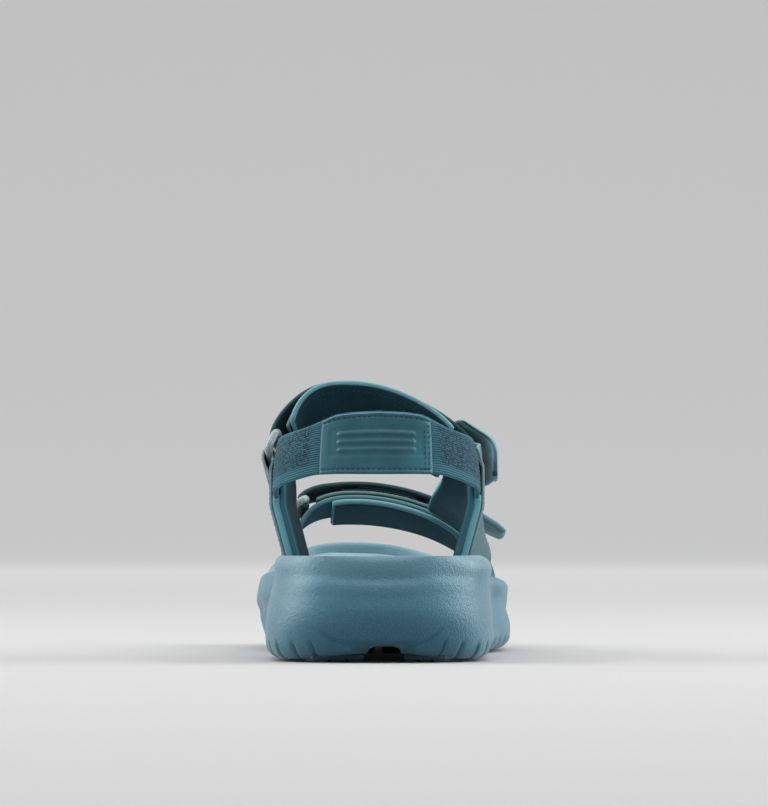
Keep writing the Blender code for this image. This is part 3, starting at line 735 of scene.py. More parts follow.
# How far in from the widest outline the side is, by share of the way from the underside to the rim
MEDIAL_PROFILE = ((0.0, 1.7), (0.05, 0.7), (0.12, 0.2), (0.2, 0.05), (0.3, 0.1), (0.4, 0.5), (0.5, 1.1),
                  (0.6, 2.0), (0.7, 2.9), (0.8, 3.8), (0.88, 4.0), (0.94, 4.3), (0.98, 5.0), (1.0, 6.0))
MEDIAL_FRONT_PROFILE = ((0.0, 6.0), (0.06, 4.6), (0.15, 3.5), (0.28, 2.3), (0.4, 1.0), (0.5, 0.2), (0.6, 0.1),
                        (0.72, 0.6), (0.85, 1.3), (0.93, 2.0), (0.98, 3.2), (1.0, 4.8))
LATERAL_PROFILE = ((0.0, 1.7), (0.05, 0.7), (0.12, 0.2), (0.3, 0.0), (0.45, 0.4), (0.6, 0.8), (0.7, 1.0),
                   (0.78, 0.9), (0.86, 0.9), (0.92, 1.5), (0.97, 2.8), (1.0, 5.0))
BACK_PROFILE = ((0.0, 5.4), (0.05, 4.0), (0.12, 2.6), (0.2, 1.5), (0.3, 0.4), (0.4, 0.0), (0.48, 0.4),
                (0.55, 0.8), (0.62, 1.0), (0.68, 1.5), (0.725, 2.3), (0.755, 2.7), (0.8, 2.9), (0.9, 3.3),
                (0.96, 3.9), (1.0, 5.2))
CREASE_RISE = 0.05
LIP = ((7.3, 0.0), (5.9, 0.9), (4.3, 1.7), (2.5, 1.7), (1.0, 0.9))  # the foam outside the tread: inset, drop
SIPE_PITCH = 9.0
HEEL_CREASES = (((-23.5, 13.5), (-21.5, 11.0), (-16.5, 7.6), (-9.5, 6.0)),
                ((12.5, 6.2), (18.0, 7.6), (22.0, 10.5), (24.5, 13.5)))  # x, z


def heel_grooves(x, z):
    """Depth of the two curved creases low on the heel's back, and the hollow between them."""
    depth = 0.0
    for path in HEEL_CREASES:
        ends = min(x - path[0][0], path[-1][0] - x)
        if ends > 0:
            depth += 0.9 * bump(smooth(path, x), 0.9, z) * fade(0, 3, ends)
    hollow = (1 - fade(7.0, 15.0, abs(x - 2.0))) * (1 - fade(3.5, 8.5, z))
    return depth + 4.5 * hollow


def side_sculpt(x, y, z, side, share, run):
    """Moulded hollows and ribs along the sides of the sole."""
    along = fade(52, 75, y) * (1 - fade(255, 280, y))
    line = 20.0 + 4.5 * math.sin((y - 60) / 34.0)
    depth = 1.1 * bump(line, 3.2, z) * along
    for centre, width in ((148.0, 7.0), (186.0, 6.0), (222.0, 6.0)):
        slope = (z - 18) * 0.45
        middle = fade(0.1, 0.3, share) * (1 - fade(0.72, 0.9, share))
        depth += 1.5 * bump(centre + slope, width, y) * middle * along
    sipes = max(math.cos(2 * math.pi * run / SIPE_PITCH), 0.0) ** 8
    reach = 1 - fade(0.07, 0.16, share)
    away = fade(10, 20, y) if abs(x) < 26 else 1.0
    return depth + 1.5 * sipes * reach * away


def midsole_ring(share, inset=None, height=None, drop=0.0, tuck=0.0):
    ring, run, before = [], 0.0, None
    for x, y, out, side in outline():
        if before:
            run += math.dist(before, (x, y))
        before = (x, y)
        low = ground(y) + OUTSOLE + GAP
        z = mix(low, rim(y, side), share) if height is None else height(y, side)
        if inset is None:
            depth = smooth(MEDIAL_PROFILE if side < 0 else LATERAL_PROFILE, share)
            if side < 0:
                front = fade(140, 168, y) * (1 - fade(235, 265, y))
                depth = mix(depth, smooth(MEDIAL_FRONT_PROFILE, share), front)
                depth = mix(depth, smooth(LATERAL_PROFILE, share), fade(235, 275, y))
            back = 1 - fade(4, 22, y)
            if back > 0:
                level = share - CREASE_RISE * min((x / 22) ** 2, 1.0) * fade(0.3, 0.6, share)
                depth = mix(depth, smooth(BACK_PROFILE, level), back) + back * heel_grooves(x, z)
            depth += side_sculpt(x, y, z, side, share, run)
            heel_ear = bump(30, 16, y) * bump(0.9, 0.09, share)
            depth -= 0.8 * heel_ear
        else:
            depth = inset
        depth += tuck
        ring.append(Vector((x - out.x * depth, y - out.y * depth, z - drop)))
    return ring


def cap_rings(ring, height, shares=(0.75, 0.5, 0.25, 0.03)):
    """Rings that close a loop towards the sole's middle line."""
    rings = []
    for share in shares:
        moved = []
        for p in ring:
            middle = (sole_edge(p.y, -1) + sole_edge(p.y, 1)) / 2
            moved.append(Vector((mix(middle, p.x, share), p.y, height(p.y))))
        rings.append(moved)
    return rings


def midsole(paint):
    def underside(y):
        return ground(y) + OUTSOLE + GAP

    shares = spread(0.0, 0.98, 60) + [0.99, 1.0]
    rings = [midsole_ring(0.0, tuck=tuck, drop=drop) for tuck, drop in LIP]
    rings += [midsole_ring(s) for s in shares]
    rings = cap_rings(rings[0], underside)[::-1] + rings
    rings.append(midsole_ring(1.0, 6.4, lambda y, side: rim(y, side) + 0.05))
    rings.append(midsole_ring(1.0, 7.2, lambda y, side: rim(y, side) - 0.4))
    rings.append(midsole_ring(1.0, RECESS_INSET, lambda y, side: rim(y, side) - 1.6))
    rings.append(midsole_ring(1.0, RECESS_INSET, lambda y, side: footbed_centre(y) - FOOTBED_THICKNESS))
    rings += cap_rings(rings[-1], lambda y: footbed_centre(y) - FOOTBED_THICKNESS)
    points = [p for ring in rings for p in ring]
    mesh = new_mesh("midsole_foam", points, tube_faces(len(rings[0]), len(rings)))
    carve_channel(finish_piece("midsole_foam", mesh, SOLE_BODY, "midsole", paint, ("midsole",)))


CHANNEL = ((-4.5, -3.0), (-4.5, 3.5), (-3.6, 5.3), (-1.5, 6.3), (5.5, 6.3), (7.6, 5.3), (8.5, 3.5),
           (8.5, -3.0))  # x, z
CHANNEL_RUN = (-10.0, 125.0)


def carve_channel(target):
    """Cuts the tunnel-shaped channel under the middle of the heel."""
    points = [Vector((x, y, z)) for y in CHANNEL_RUN for x, z in CHANNEL]
    mesh = new_mesh("channel_cutter", points, tube_faces(len(CHANNEL), 2))
    cutter = bpy.data.objects.new("channel_cutter", mesh)
    bpy.context.scene.collection.objects.link(cutter)
    boolean = target.modifiers.new("channel", "BOOLEAN")
    boolean.operation, boolean.solver, boolean.object = "DIFFERENCE", "MANIFOLD", cutter
    bpy.context.view_layer.update()
    carved = bpy.data.meshes.new_from_object(target.evaluated_get(bpy.context.evaluated_depsgraph_get()))
    target.modifiers.remove(boolean)
    target.data = carved
    bpy.data.objects.remove(cutter)


def edge_table(inset):
    """x of the inset outline against y, for each side."""
    tables = {-1: [], 1: []}
    for x, y, out, side in outline():
        tables[side].append((y - out.y * inset, x - out.x * inset))
    return {side: sorted(rows) for side, rows in tables.items()}


def table_x(rows, y):
    k = min(max(bisect.bisect_left(rows, (y, -1e9)), 1), len(rows) - 1)
    (y0, x0), (y1, x1) = rows[k - 1], rows[k]
    return mix(x0, x1, min(max((y - y0) / max(y1 - y0, 1e-6), 0.0), 1.0))


def footbed(paint):
    """The dished top layer that lies in the midsole's recess."""
    inset = RECESS_INSET + GAP
    tables = edge_table(inset)
    first, last = inset + 0.15, SOLE_LENGTH - inset - 0.15
    rows, columns = 130, 44
    points = []

    def index(i, j):
        return i * columns + j

    for i in range(rows):
        y = first + (last - first) * (1 - math.cos(math.pi * i / (rows - 1))) / 2
        left, right = table_x(tables[-1], y), table_x(tables[1], y)
        for j in range(columns):
            across = (1 - math.cos(math.pi * j / (columns - 1))) / 2
            x = mix(left, right, across)
            edge = mix(rim(y, -1), rim(y, 1), across) - 1.2
            away = min(x - left, right - x, (y - first) * 0.9, (last - y) * 0.9)
            dish = smooth(FOOTBED_DISH, y) - 1.2
            z = edge - dish * fade(0, 19, away) - 0.7 * (1 - fade(0, 1.2, away))
            z += 0.8 * bump(128, 34, y) * fade(0, 22, x - left) * bump(left + 14, 14, x)
            points.append(Vector((x, y, z)))
    faces = grid_faces(index, rows, columns)
    border = [index(0, j) for j in range(columns)] + [index(i, columns - 1) for i in range(1, rows)]
    border += [index(rows - 1, j) for j in range(columns - 2, -1, -1)]
    border += [index(i, 0) for i in range(rows - 2, 0, -1)]
    low = range(len(points), len(points) + len(border))
    for k in border:
        x, y, _ = points[k]
        points.append(Vector((x, y, footbed_centre(y) - FOOTBED_THICKNESS + GAP)))
    for k in range(len(border)):
        m = (k + 1) % len(border)
        faces.append((border[k], low[k], low[m], border[m]))
    faces.append(tuple(low))
    mesh = new_mesh("footbed_top", points, faces)
    finish_piece("footbed_top", mesh, SOLE_BODY, "footbed", paint, ("footbed",))


def outsole(paint):
    """The tread pads keep their CAD shape, with softened lug edges."""
    for name in ("outsole_heel_medial", "outsole_heel_lateral", "outsole_forefoot_medial",
                 "outsole_forefoot_lateral"):
        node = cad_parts[name]
        node.data.materials.clear()
        node.data.materials.append(paint)
        bevel = node.modifiers.new("soft_edges", "BEVEL")
        bevel.width, bevel.segments, bevel.limit_method = 0.35 * MM, 2, "ANGLE"
        bevel.angle_limit = math.radians(35)


# Heel strap

HEEL_STRAP_TOP = ((0, 95.0), (15, 93.8), (24, 91.2), (35, 88.6), (50, 86.6), (66, 85.3), (95, 84.2))
HEEL_STRAP_BOTTOM = ((0, 71.0), (24, 70.8), (35, 69.0), (50, 66.3), (66, 63.8), (95, 61.2))
HEEL_BACK = 10.5
HEEL_TURN = 50.0
HEEL_POWER = 2.3
HEEL_HALF = 36.5
STRAP_END_Y = 78.0
PATCH_ENDS = (-23.5, 21.0)
PLAN_STEP = 0.5
LATERAL_TRIM = 1.95


@functools.lru_cache(None)
def heel_plan(height):
    """Plan points (x, y) round the outer half of the heel, with the distance run so far."""
    depth_or_painted_shade = HEEL_TURN - HEEL_BACK + height
    half = HEEL_HALF + height
    samples = []
    for i in range(121):
        turn = math.pi / 2 * i / 120
        samples.append((half * math.sin(turn) ** (2 / HEEL_POWER),
                        HEEL_TURN - depth_or_painted_shade * math.cos(turn) ** (2 / HEEL_POWER)))
    samples += [(half, y) for y in spread(HEEL_TURN + 4, STRAP_END_Y, 8)]
    runs = [0.0]
    for a, b in zip(samples, samples[1:]):
        runs.append(runs[-1] + math.dist(a, b))
    return samples, runs


def heel_spot(reach, height):
    samples, runs = heel_plan(height)
    want = min(abs(reach), runs[-1])
    k = min(max(bisect.bisect_left(runs, want), 1), len(runs) - 1)
    t = (want - runs[k - 1]) / (runs[k] - runs[k - 1])
    (x0, y0), (x1, y1) = samples[k - 1], samples[k]
    x = math.copysign(mix(x0, x1, t), reach)
    return Vector((x - LATERAL_TRIM * fade(18.0, 36.0, x), mix(y0, y1, t)))


def heel_top(reach):
    return smooth(HEEL_STRAP_TOP, abs(reach))


def heel_bottom(reach):
    return smooth(HEEL_STRAP_BOTTOM, abs(reach))


def heel_place(reach, share, height):
    step = math.floor(height / PLAN_STEP) * PLAN_STEP
    flat = heel_spot(reach, step).lerp(heel_spot(reach, step + PLAN_STEP), (height - step) / PLAN_STEP)
    z = mix(heel_bottom(reach), heel_top(reach), share)
    return Vector((flat.x - ankle_lean(flat.x, flat.y, z), flat.y, z))


FULL_REACH = heel_plan(ELASTIC[0])[1][-1]
KNIT_MIDDLE = FULL_REACH
RIBS = ((0.66, 14.0), (0.53, 14.0), (0.4, 14.0))
RIB_CENTRE = -1.0


def patch_relief(reach, share):
    """Height pressed into or out of the patch: a shallow panel with three plain rounded ribs."""
    x = reach - RIB_CENTRE
    panel = (1 - fade(17.0, 19.5, abs(x))) * (1 - fade(0.2, 0.27, abs(share - 0.53)))
    height = -0.32 * panel
    for centre, half in RIBS:
        across = (share - centre) * 24.0
        over = max(abs(x) - half, 0.0)
        distance = math.hypot(across, over)
        height += 0.75 * (1 - fade(0.35, 1.15, distance))
    edges = min(share, 1 - share) * 24.0
    height += 0.25 * bump(0.9, 0.5, edges) - 0.3 * bump(2.0, 0.35, edges)
    return height


def heel_patch(paint, thread):
    """A smooth overlay with a turned edge, stitched down along its sides."""
    first, last = PATCH_ENDS
    columns, rows = 130, 61
    margin = 0.5 / 24.0
    points, uvs = [], []
    for outer in (False, True):
        for reach in spread(first, last, columns):
            for share in spread(margin, 1 - margin, rows):
                end = min(reach - first, last - reach)
                rim_in = min(min(share - margin, 1 - margin - share) * 24.0, end)
                droop = 0.55 * (1 - math.sqrt(max(1 - (1 - min(rim_in / 0.8, 1.0)) ** 2, 0.0)))
                height = PATCH[1] + patch_relief(reach, share) - droop if outer else PATCH[0]
                points.append(heel_place(reach, share, height))
                uvs.append((reach, share * 24.0))
    count = columns * rows
    faces = grid_faces(lambda i, j: i * rows + j, columns, rows)
    faces += grid_faces(lambda i, j: count + i * rows + j, columns, rows)
    ends = [(i * rows + j, (i + 1) * rows + j) for i in range(columns - 1) for j in (0, rows - 1)]
    ends += [(i * rows + j, i * rows + j + 1) for j in range(rows - 1) for i in (0, columns - 1)]
    faces += [(a, b, count + b, count + a) for a, b in ends]
    mesh = new_mesh("heel_patch_overlay", points, faces, uvs, sharp=60.0)
    finish_piece("heel_patch_overlay", mesh, HEEL_BODY, "heel_patch", paint, ("heel_patch",))
    top = PATCH[1] - 0.15
    inset = 2.0 / 24.0
    ats = spread(first + 0.8, last - 1.2, 60)
    paths = [seam(heel_place, ats, 1 - inset, top), seam(heel_place, ats, inset, top)]
    for at_reach in (last - 1.4, last - 3.1):
        paths.append(seam(heel_place, at_reach, spread(0.06, 0.94, 30), top + 0.1))
    stitching("heel_patch_thread", paths, HEEL_BODY, "heel_patch", thread, pitch=2.0, length=1.45)


def heel_strap(paints):
    mesh = band("heel_strap_elastic", heel_place, -FULL_REACH, FULL_REACH, FULL_WIDTH, ELASTIC, 0.9, 150, 15)
    finish_piece("heel_strap_elastic", mesh, HEEL_BODY, "elastic_knit", paints["knit"], ("heel_strap",))
    heel_patch(paints["patch"], paints["thread"])
    paths = []
    for side in (-1, 1):
        for reach in (FULL_REACH - 26.0, FULL_REACH - 24.2):
            paths.append(seam(heel_place, side * reach, spread(0.05, 0.95, 30), ELASTIC[1]))
    stitching("heel_strap_thread", paths, HEEL_BODY, "elastic_knit", paints["pale_thread"], 1.5, 1.15, 0.2)


# Side panels

PANEL_SINK = 6.5
PANEL_REAR = 66.0
MEDIAL_FRONT = 116.0
MEDIAL_TOP = ((66, 78), (88, 76), (104, 67), (116, 58))
MEDIAL_LINING_TOP = ((66, 82), (88, 81), (104, 74), (116, 64))
LATERAL_FRONT = 156.5
LATERAL_SHELL_TOP = ((66, 83), (80, 80), (92, 76), (106, 71.5), (120, 67.6), (138, 61), (157, 56))
LATERAL_LINING_TOP = ((66, 79), (80, 78), (89, 74), (96, 67.6), (120, 67.6), (138, 61), (157, 56))
CORE_TOP = ((66, 63.9), (80, 62.4), (96, 61.0))


def panel_place(side, top_angle):
    """place(y, share up the panel, height above the form) for a side panel."""
    def place(y, share, height):
        low = angle_at(y, side, rim(y, side) - PANEL_SINK)
        return raised(y, mix(low, top_angle(y), share), height)
    return place


def medial_outer(y):
    return angle_at(y, -1, smooth(MEDIAL_TOP, y))


def medial_inner(y):
    return angle_at(y, -1, smooth(MEDIAL_LINING_TOP, y))


def lateral_outer(y):
    return smooth(LATERAL_SHELL_TOP, y)


def lateral_inner(y):
    return smooth(LATERAL_LINING_TOP, y)


def core_top(side, top):
    def angle(y):
        low_top = angle_at(y, side, smooth(CORE_TOP, y))
        return side * max(abs(top(y)) + 1.5, abs(low_top)) if y < 121 else top(y)
    return angle


def side_panel(word, side, front, outer, inner, paints):
    """The woven shell, the thin core and the padded lining of one side, and the shell's stitching."""
    place = panel_place(side, outer)
    name = word + "_quarter"
    layers = (
        ("_shell", place, PANEL_REAR, front, PANEL, 0.6, 60, 31, (0.0, 0.0), (2.0, 6.0)),
        ("_padding", panel_place(side, inner), PANEL_REAR - 0.6, front, LINING, 0.8, 60, 31, (0.25, 0.0),
         (2.0, 5.0)),
        ("_core", panel_place(side, core_top(side, outer)), PANEL_REAR - 0.35, front - 0.8, CORE, 0.4, 40, 21,
         (0.0, 0.0), (0.0, 5.0)),
    )
    finishes = (("quarter", "panel", (name,)), ("lining", "side_lining", (name + "_lining",)),
                ("lining", "core", ()))
    for (suffix, on_form, first, last, layer, rounding, count, columns, swell, corners), finish in zip(
            layers, finishes):
        slot, paint, nodes = finish
        mesh = band(name + suffix, on_form, first, last, FULL_WIDTH, layer, rounding, count, columns, swell,
                    corners)
        finish_piece(name + suffix, mesh, SOLE_BODY, slot, paints[paint], nodes)
    rear, top = spread(0.12, 0.97, 40), PANEL[1] - 0.06
    paths = [seam(place, PANEL_REAR + 2.2, rear, top), seam(place, front - 2.2, rear, top),
             seam(place, spread(PANEL_REAR + 2.0, front - 2.0, 60), 0.955, top)]
    stitching(name + "_thread", paths, SOLE_BODY, "quarter", paints["thread"], 2.1, 1.5, 0.16)


# Adjustable straps

INSTEP = {
    "name": "instep",
    "rear": ((-110, 87), (-50, 90), (0, 92), (66, 91.5), (110, 86)),
    "front": ((-110, 117), (-50, 119), (0, 117.5), (66, 119), (110, 112)),
    "ring": -57.0,
    "bar_height": 6.4,
    "liner_start": -50.0,
    "liner_end": 65.8,
    "loop_end": 50.0,
    "flap_end": 76.0,
    "tab": (65.0, 94.0),
    "tab_skew": -11.0,
    "tab_flare": ((65, 0.0), (72, 0.9), (78, 2.9), (82, 2.6), (87, 1.2), (94, 0.5)),
    "keeper": (6.5, 61.0),
}
FOREFOOT = {
    "name": "forefoot",
    "rear": ((-130, 160), (-60, 157), (0, 157.5), (60, 157), (130, 158)),
    "front": ((-130, 186), (-60, 189), (0, 194), (60, 192), (130, 188)),
    "ring": -40.0,
    "bar_height": 6.1,
    "liner_start": -24.0,
    "liner_end": 76.0,
    "loop_end": 46.0,
    "flap_end": 70.0,
    "tab": (58.0, 85.0),
    "tab_skew": -5.0,
    "tab_flare": ((58, 0.0), (70, 0.4), (78, 1.3), (85, 4.2)),
    "keeper": (2.5, 30.5),
}
EDGE_INSET = 0.13
KEEPER_INSET = 0.16
STRAP_START = 6.0
TAB_TAPER = 1.2
INSTEP_STRAP_END = 77.0
SLOT_FOOT = 27.0


def strap_place(strap):
    """place(angle, share from the rear edge to the front edge, height above the form)."""
    def place(angle, share, height):
        return raised(mix(smooth(strap["rear"], angle), smooth(strap["front"], angle), share), angle, height)
    return place


def ring_frame(strap):
    """Middle of the ring's upper bar, and the directions across the strap, down it and off the foot."""
    angle = strap["ring"]
    place = strap_place(strap)
    high = strap["bar_height"]
    rear, front = place(angle, EDGE_INSET, high), place(angle, 1 - EDGE_INSET, high)
    side = (front - rear).normalized()
    middle_y = mix(smooth(strap["rear"], angle), smooth(strap["front"], angle), 0.5)
    out = last_frame(middle_y, angle)[1]
    out = (out - side * out.dot(side)).normalized()
    down = out.cross(side).normalized()
    if down.z > 0:
        down = -down
    return (rear + front) / 2, side, down, out, (front - rear).length


def wrap_sections(centre, side, down, out, width, radii, turns, rounding, columns, flats):
    """Loops of a band bent round a bar: turn 0 points down the strap and 90 off the foot."""
    def place(turn, share, radius):
        angle = math.radians(turn)
        ray = down * math.cos(angle) + out * math.sin(angle)
        return centre + ray * radius + side * width * (share - 0.5)

    return [section(place, turn, FULL_WIDTH, radii, rounding, columns, flat)
            for turn, flat in zip(turns, flats)]


def flap(strap, paint, thread):
    centre, side, down, out, width = ring_frame(strap)
    turns = spread(-90, 75, 20)
    wrap = wrap_sections(centre, side, down, out, width, WRAP, turns, 0.7, 7, [0.3, 0.75] + [1.0] * 18)
    start = strap["ring"]
    settle = 24.0

    def layer(angle):
        low = mix(strap["bar_height"] + WRAP[0], FLAP[0], fade(start, start + settle, angle))
        return low, low + FLAP[1] - FLAP[0]

    place = strap_place(strap)
    span = (EDGE_INSET, 1 - EDGE_INSET)
    name = strap["name"] + "_flap_webbing"
    mesh = band(name, place, start + 1.5, strap["flap_end"], span, layer, 0.7, 90, 7, before=wrap,
                corners=(0.0, 5.0))
    body = strap["name"] + "_flap"
    finish_piece(name, mesh, body, "webbing", paint, (body,))
    ats = spread(start + 24.0, strap["tab"][0] - 1.0, 70)
    height = FLAP[1]
    paths = [seam(place, ats, EDGE_INSET + 0.09, height), seam(place, ats, 1 - EDGE_INSET - 0.09, height)]
    for at in (strap["loop_end"], start + 26.0):
        paths.append(seam(place, at, spread(EDGE_INSET + 0.1, 0.9 - EDGE_INSET, 20), height))
    stitching(strap["name"] + "_flap_thread", paths, body, "webbing", thread)


def pull_tab(strap, paint):
    """A thick moulded tab with rounded corners, standing a little off the foot at its end."""
    first, last = strap["tab"]
    on_foot = strap_place(strap)

    def place(angle, share, height):
        turned = angle + strap["tab_skew"] * share
        return on_foot(turned, share, height + smooth(strap["tab_flare"], angle))

    def layer(angle):
        return PULL_TAB[0], PULL_TAB[1] - TAB_TAPER * (1 - fade(first, first + 8, angle))

    name = strap["name"] + "_tab_moulding"
    mesh = band(name, place, first, last, (0.07, 0.93), layer, 0.9, 70, 13, corners=(1.5, 4.5))
    finish_piece(name, mesh, strap["name"] + "_flap", "pull_tab", paint, (strap["name"] + "_pull_tab",))


def ring(strap, paint):
    """A rectangular loop of round bar with rounded corners."""
    centre, side, down, out, width = ring_frame(strap)
    half = width / 2 + 1.0 + BAR_RADIUS
    corner, sides = 2.6, 20
    path = []
    for sx, sd, first in ((1, 1, 0), (-1, 1, 90), (-1, -1, 180), (1, -1, 270)):
        for turn in spread(first, first + 90, 9):
            angle = math.radians(turn)
            path.append((sx * (half - corner) + corner * math.cos(angle),
                         sd * (RING_PITCH / 2 - corner) + corner * math.sin(angle), angle))
    middle = centre + down * RING_PITCH / 2
    points = []
    for a, d, angle in path:
        heading = side * math.cos(angle) + down * math.sin(angle)
        for k in range(sides):
            turn = 2 * math.pi * k / sides
            thick = heading * math.cos(turn) + out * math.sin(turn)
            points.append(middle + side * a + down * d + thick * BAR_RADIUS * 0.98)
    name, node = strap["name"] + "_ring_bar", strap["name"] + "_ring"
    mesh = new_mesh(name, points, tube_faces(sides, len(path), closed=True))
    finish_piece(name, mesh, node, "ring", paint, (node,))


def keeper(strap, paint, thread):
    """Webbing that rises from the side of the foot and hooks over the ring's lower bar."""
    centre, side, down, out, width = ring_frame(strap)
    lower = centre + down * RING_PITCH
    top = strap["ring"]
    while (last_point(lower.y, top - 0.5) - lower).length < (last_point(lower.y, top) - lower).length:
        top -= 0.5
    start, normal = last_frame(lower.y, top)
    normal = (normal - side * normal.dot(side)).normalized()
    bar_height = (lower - start).length
    lift, foot = strap["keeper"]
    narrow = width * (1 - 2 * KEEPER_INSET) / (1 - 2 * EDGE_INSET)
    low = angle_at(lower.y, -1, foot)
    along = normal.cross(side)
    if along.z > 0:
        along = -along

    def place(risen, share, radius):
        reach = (last_point(lower.y, mix(low, top, risen)) - start).length
        blend = fade(0.0, KEEPER_RISE, reach)
        offset = (share - 0.5) * narrow
        y = lower.y + side.y * offset + down.y * reach
        rise = mix(bar_height, lift - KEEPER_WRAP[0], blend)
        edge_highlight_or_on_foot = raised(y, mix(angle_at(y, -1, foot), top, risen), rise + radius)
        free = lower + side * offset + along * reach + normal * radius
        return free.lerp(edge_highlight_or_on_foot, blend)

    first = math.degrees(math.atan2(normal.dot(out), normal.dot(down)))
    turns = spread(first, KEEPER_WRAP_END, 24)[1:]
    wrap = wrap_sections(lower, side, down, out, narrow, KEEPER_WRAP, turns, 0.5, 7, [1.0] * 21 + [0.75, 0.3])
    rows = [section(place, risen, FULL_WIDTH, KEEPER_WRAP, 0.5, 7) for risen in spread(0, 1, 30)] + wrap
    name = strap["name"] + "_keeper_webbing"
    mesh = loft(name, [r[0] for r in rows], [r[1] for r in rows], [r[2] for r in rows])
    finish_piece(name, mesh, SOLE_BODY, "keeper", paint, (strap["name"] + "_keeper",))
    paths = [seam(place, r, spread(0.12, 0.88, 12), KEEPER_WRAP[1]) for r in (0.14, 0.26)]
    stitching(strap["name"] + "_keeper_thread", paths, SOLE_BODY, "keeper", thread, 1.8, 1.3, 0.2)


def strap_piece(strap, node, suffix, run, layer, span, rounding, finish, body=SOLE_BODY, **more):
    """A plain band on the strap's path, between two angles; finish is its slot, which is not used, and its
    paint.
    """
    name = node + suffix
    mesh = band(name, strap_place(strap), *run, span, layer, rounding, **more)
    finish_piece(name, mesh, body, *finish, (node,))


def fastening(strap, paints):
    name = strap["name"]
    start, end = strap["ring"] + 26.0, strap["loop_end"]
    span = (EDGE_INSET + 0.03, 0.97 - EDGE_INSET)
    strap_piece(strap, name + "_loop_pad", "_pile", (start, end), LOOP_PAD, span, 0.3,
                ("loop_pile", paints["loop"]), corners=(1.5, 1.5))
    strap_piece(strap, name + "_hook_pad", "_tape", (start + 14, end), HOOK_PAD, span, 0.3,
                ("hook_tape", paints["hook"]), name + "_flap", corners=(1.5, 1.5))
    ring(strap, paints["ring"])
    keeper(strap, paints["keeper"], paints["thread"])
    flap(strap, paints["flap"], paints["thread"])
    pull_tab(strap, paints[name + "_tab"])


def instep_strap(paints):
    strap, place = INSTEP, strap_place(INSTEP)
    first, last = strap["liner_start"], strap["liner_end"]
    strap_piece(strap, "instep_liner", "_padding", (first, last), LINING, FULL_WIDTH, 1.1,
                ("lining", paints["lining"]), count=100, columns=15, swell=(0.35, 0.1), corners=(2.0, 0.0))
    strap_piece(strap, "instep_strap", "_webbing", (strap["ring"] + STRAP_START, INSTEP_STRAP_END), WEBBING,
                (EDGE_INSET, 1 - EDGE_INSET), 0.7, ("webbing", paints["webbing"]), count=100)
    ats, inner = spread(first + 3, last - 2, 90), LINING[0] - 0.25
    paths = [seam(place, ats, 0.1, inner), seam(place, ats, 0.9, inner)]
    paths += [seam(place, at, spread(0.1, 0.9, 20), inner) for at in (-48.0, -20.0, 36.0)]
    stitching("instep_liner_thread", inward(paths), SOLE_BODY, "lining", paints["thread"])
    fastening(strap, paints)


def forefoot_strap(paints):
    strap, place = FOREFOOT, strap_place(FOREFOOT)
    first, last = strap["liner_start"], strap["liner_end"]
    strap_piece(strap, "forefoot_liner", "_padding", (first, last), PAD, (0.02, 0.98), 1.1,
                ("lining", paints["lining"]), count=90, columns=15, swell=(0.3, 0.0), corners=(1.5, 0.0))
    foot = angle_at(172, -1, SLOT_FOOT)
    strap_piece(strap, "forefoot_under_strap", "_padding", (foot, 84.0), LINING, (0.1, 0.9), 1.0,
                ("lining", paints["under"]), count=120, columns=11)
    foot = angle_at(175, 1, SLOT_FOOT)
    strap_piece(strap, "forefoot_strap", "_webbing", (strap["ring"] + STRAP_START, foot), WEBBING,
                (EDGE_INSET, 1 - EDGE_INSET), 0.7, ("webbing", paints["webbing"]), count=120)
    ats, inner = spread(first + 2, last - 2, 80), PAD[0] - 0.2
    paths = [seam(place, ats, 0.11, inner), seam(place, ats, 0.89, inner),
             seam(place, first + 2.5, spread(0.11, 0.89, 20), inner)]
    stitching("forefoot_liner_thread", inward(paths), SOLE_BODY, "lining", paints["thread"])
    fastening(strap, paints)


# Studio

HORIZON_ROW = 530.0
IMAGE = (768, 806)
CAMERA_BACK = 1.7
CAMERA_HEIGHT = 0.05
CAMERA_X = 1.9
SCALE_AT_HEEL = 0.375
SENSOR = 36.0
FLOOR_SEEN = (0.47, 0.47, 0.47)
FLOOR_BOUNCE = (0.34, 0.36, 0.38)
WALL_GLOW = 0.35


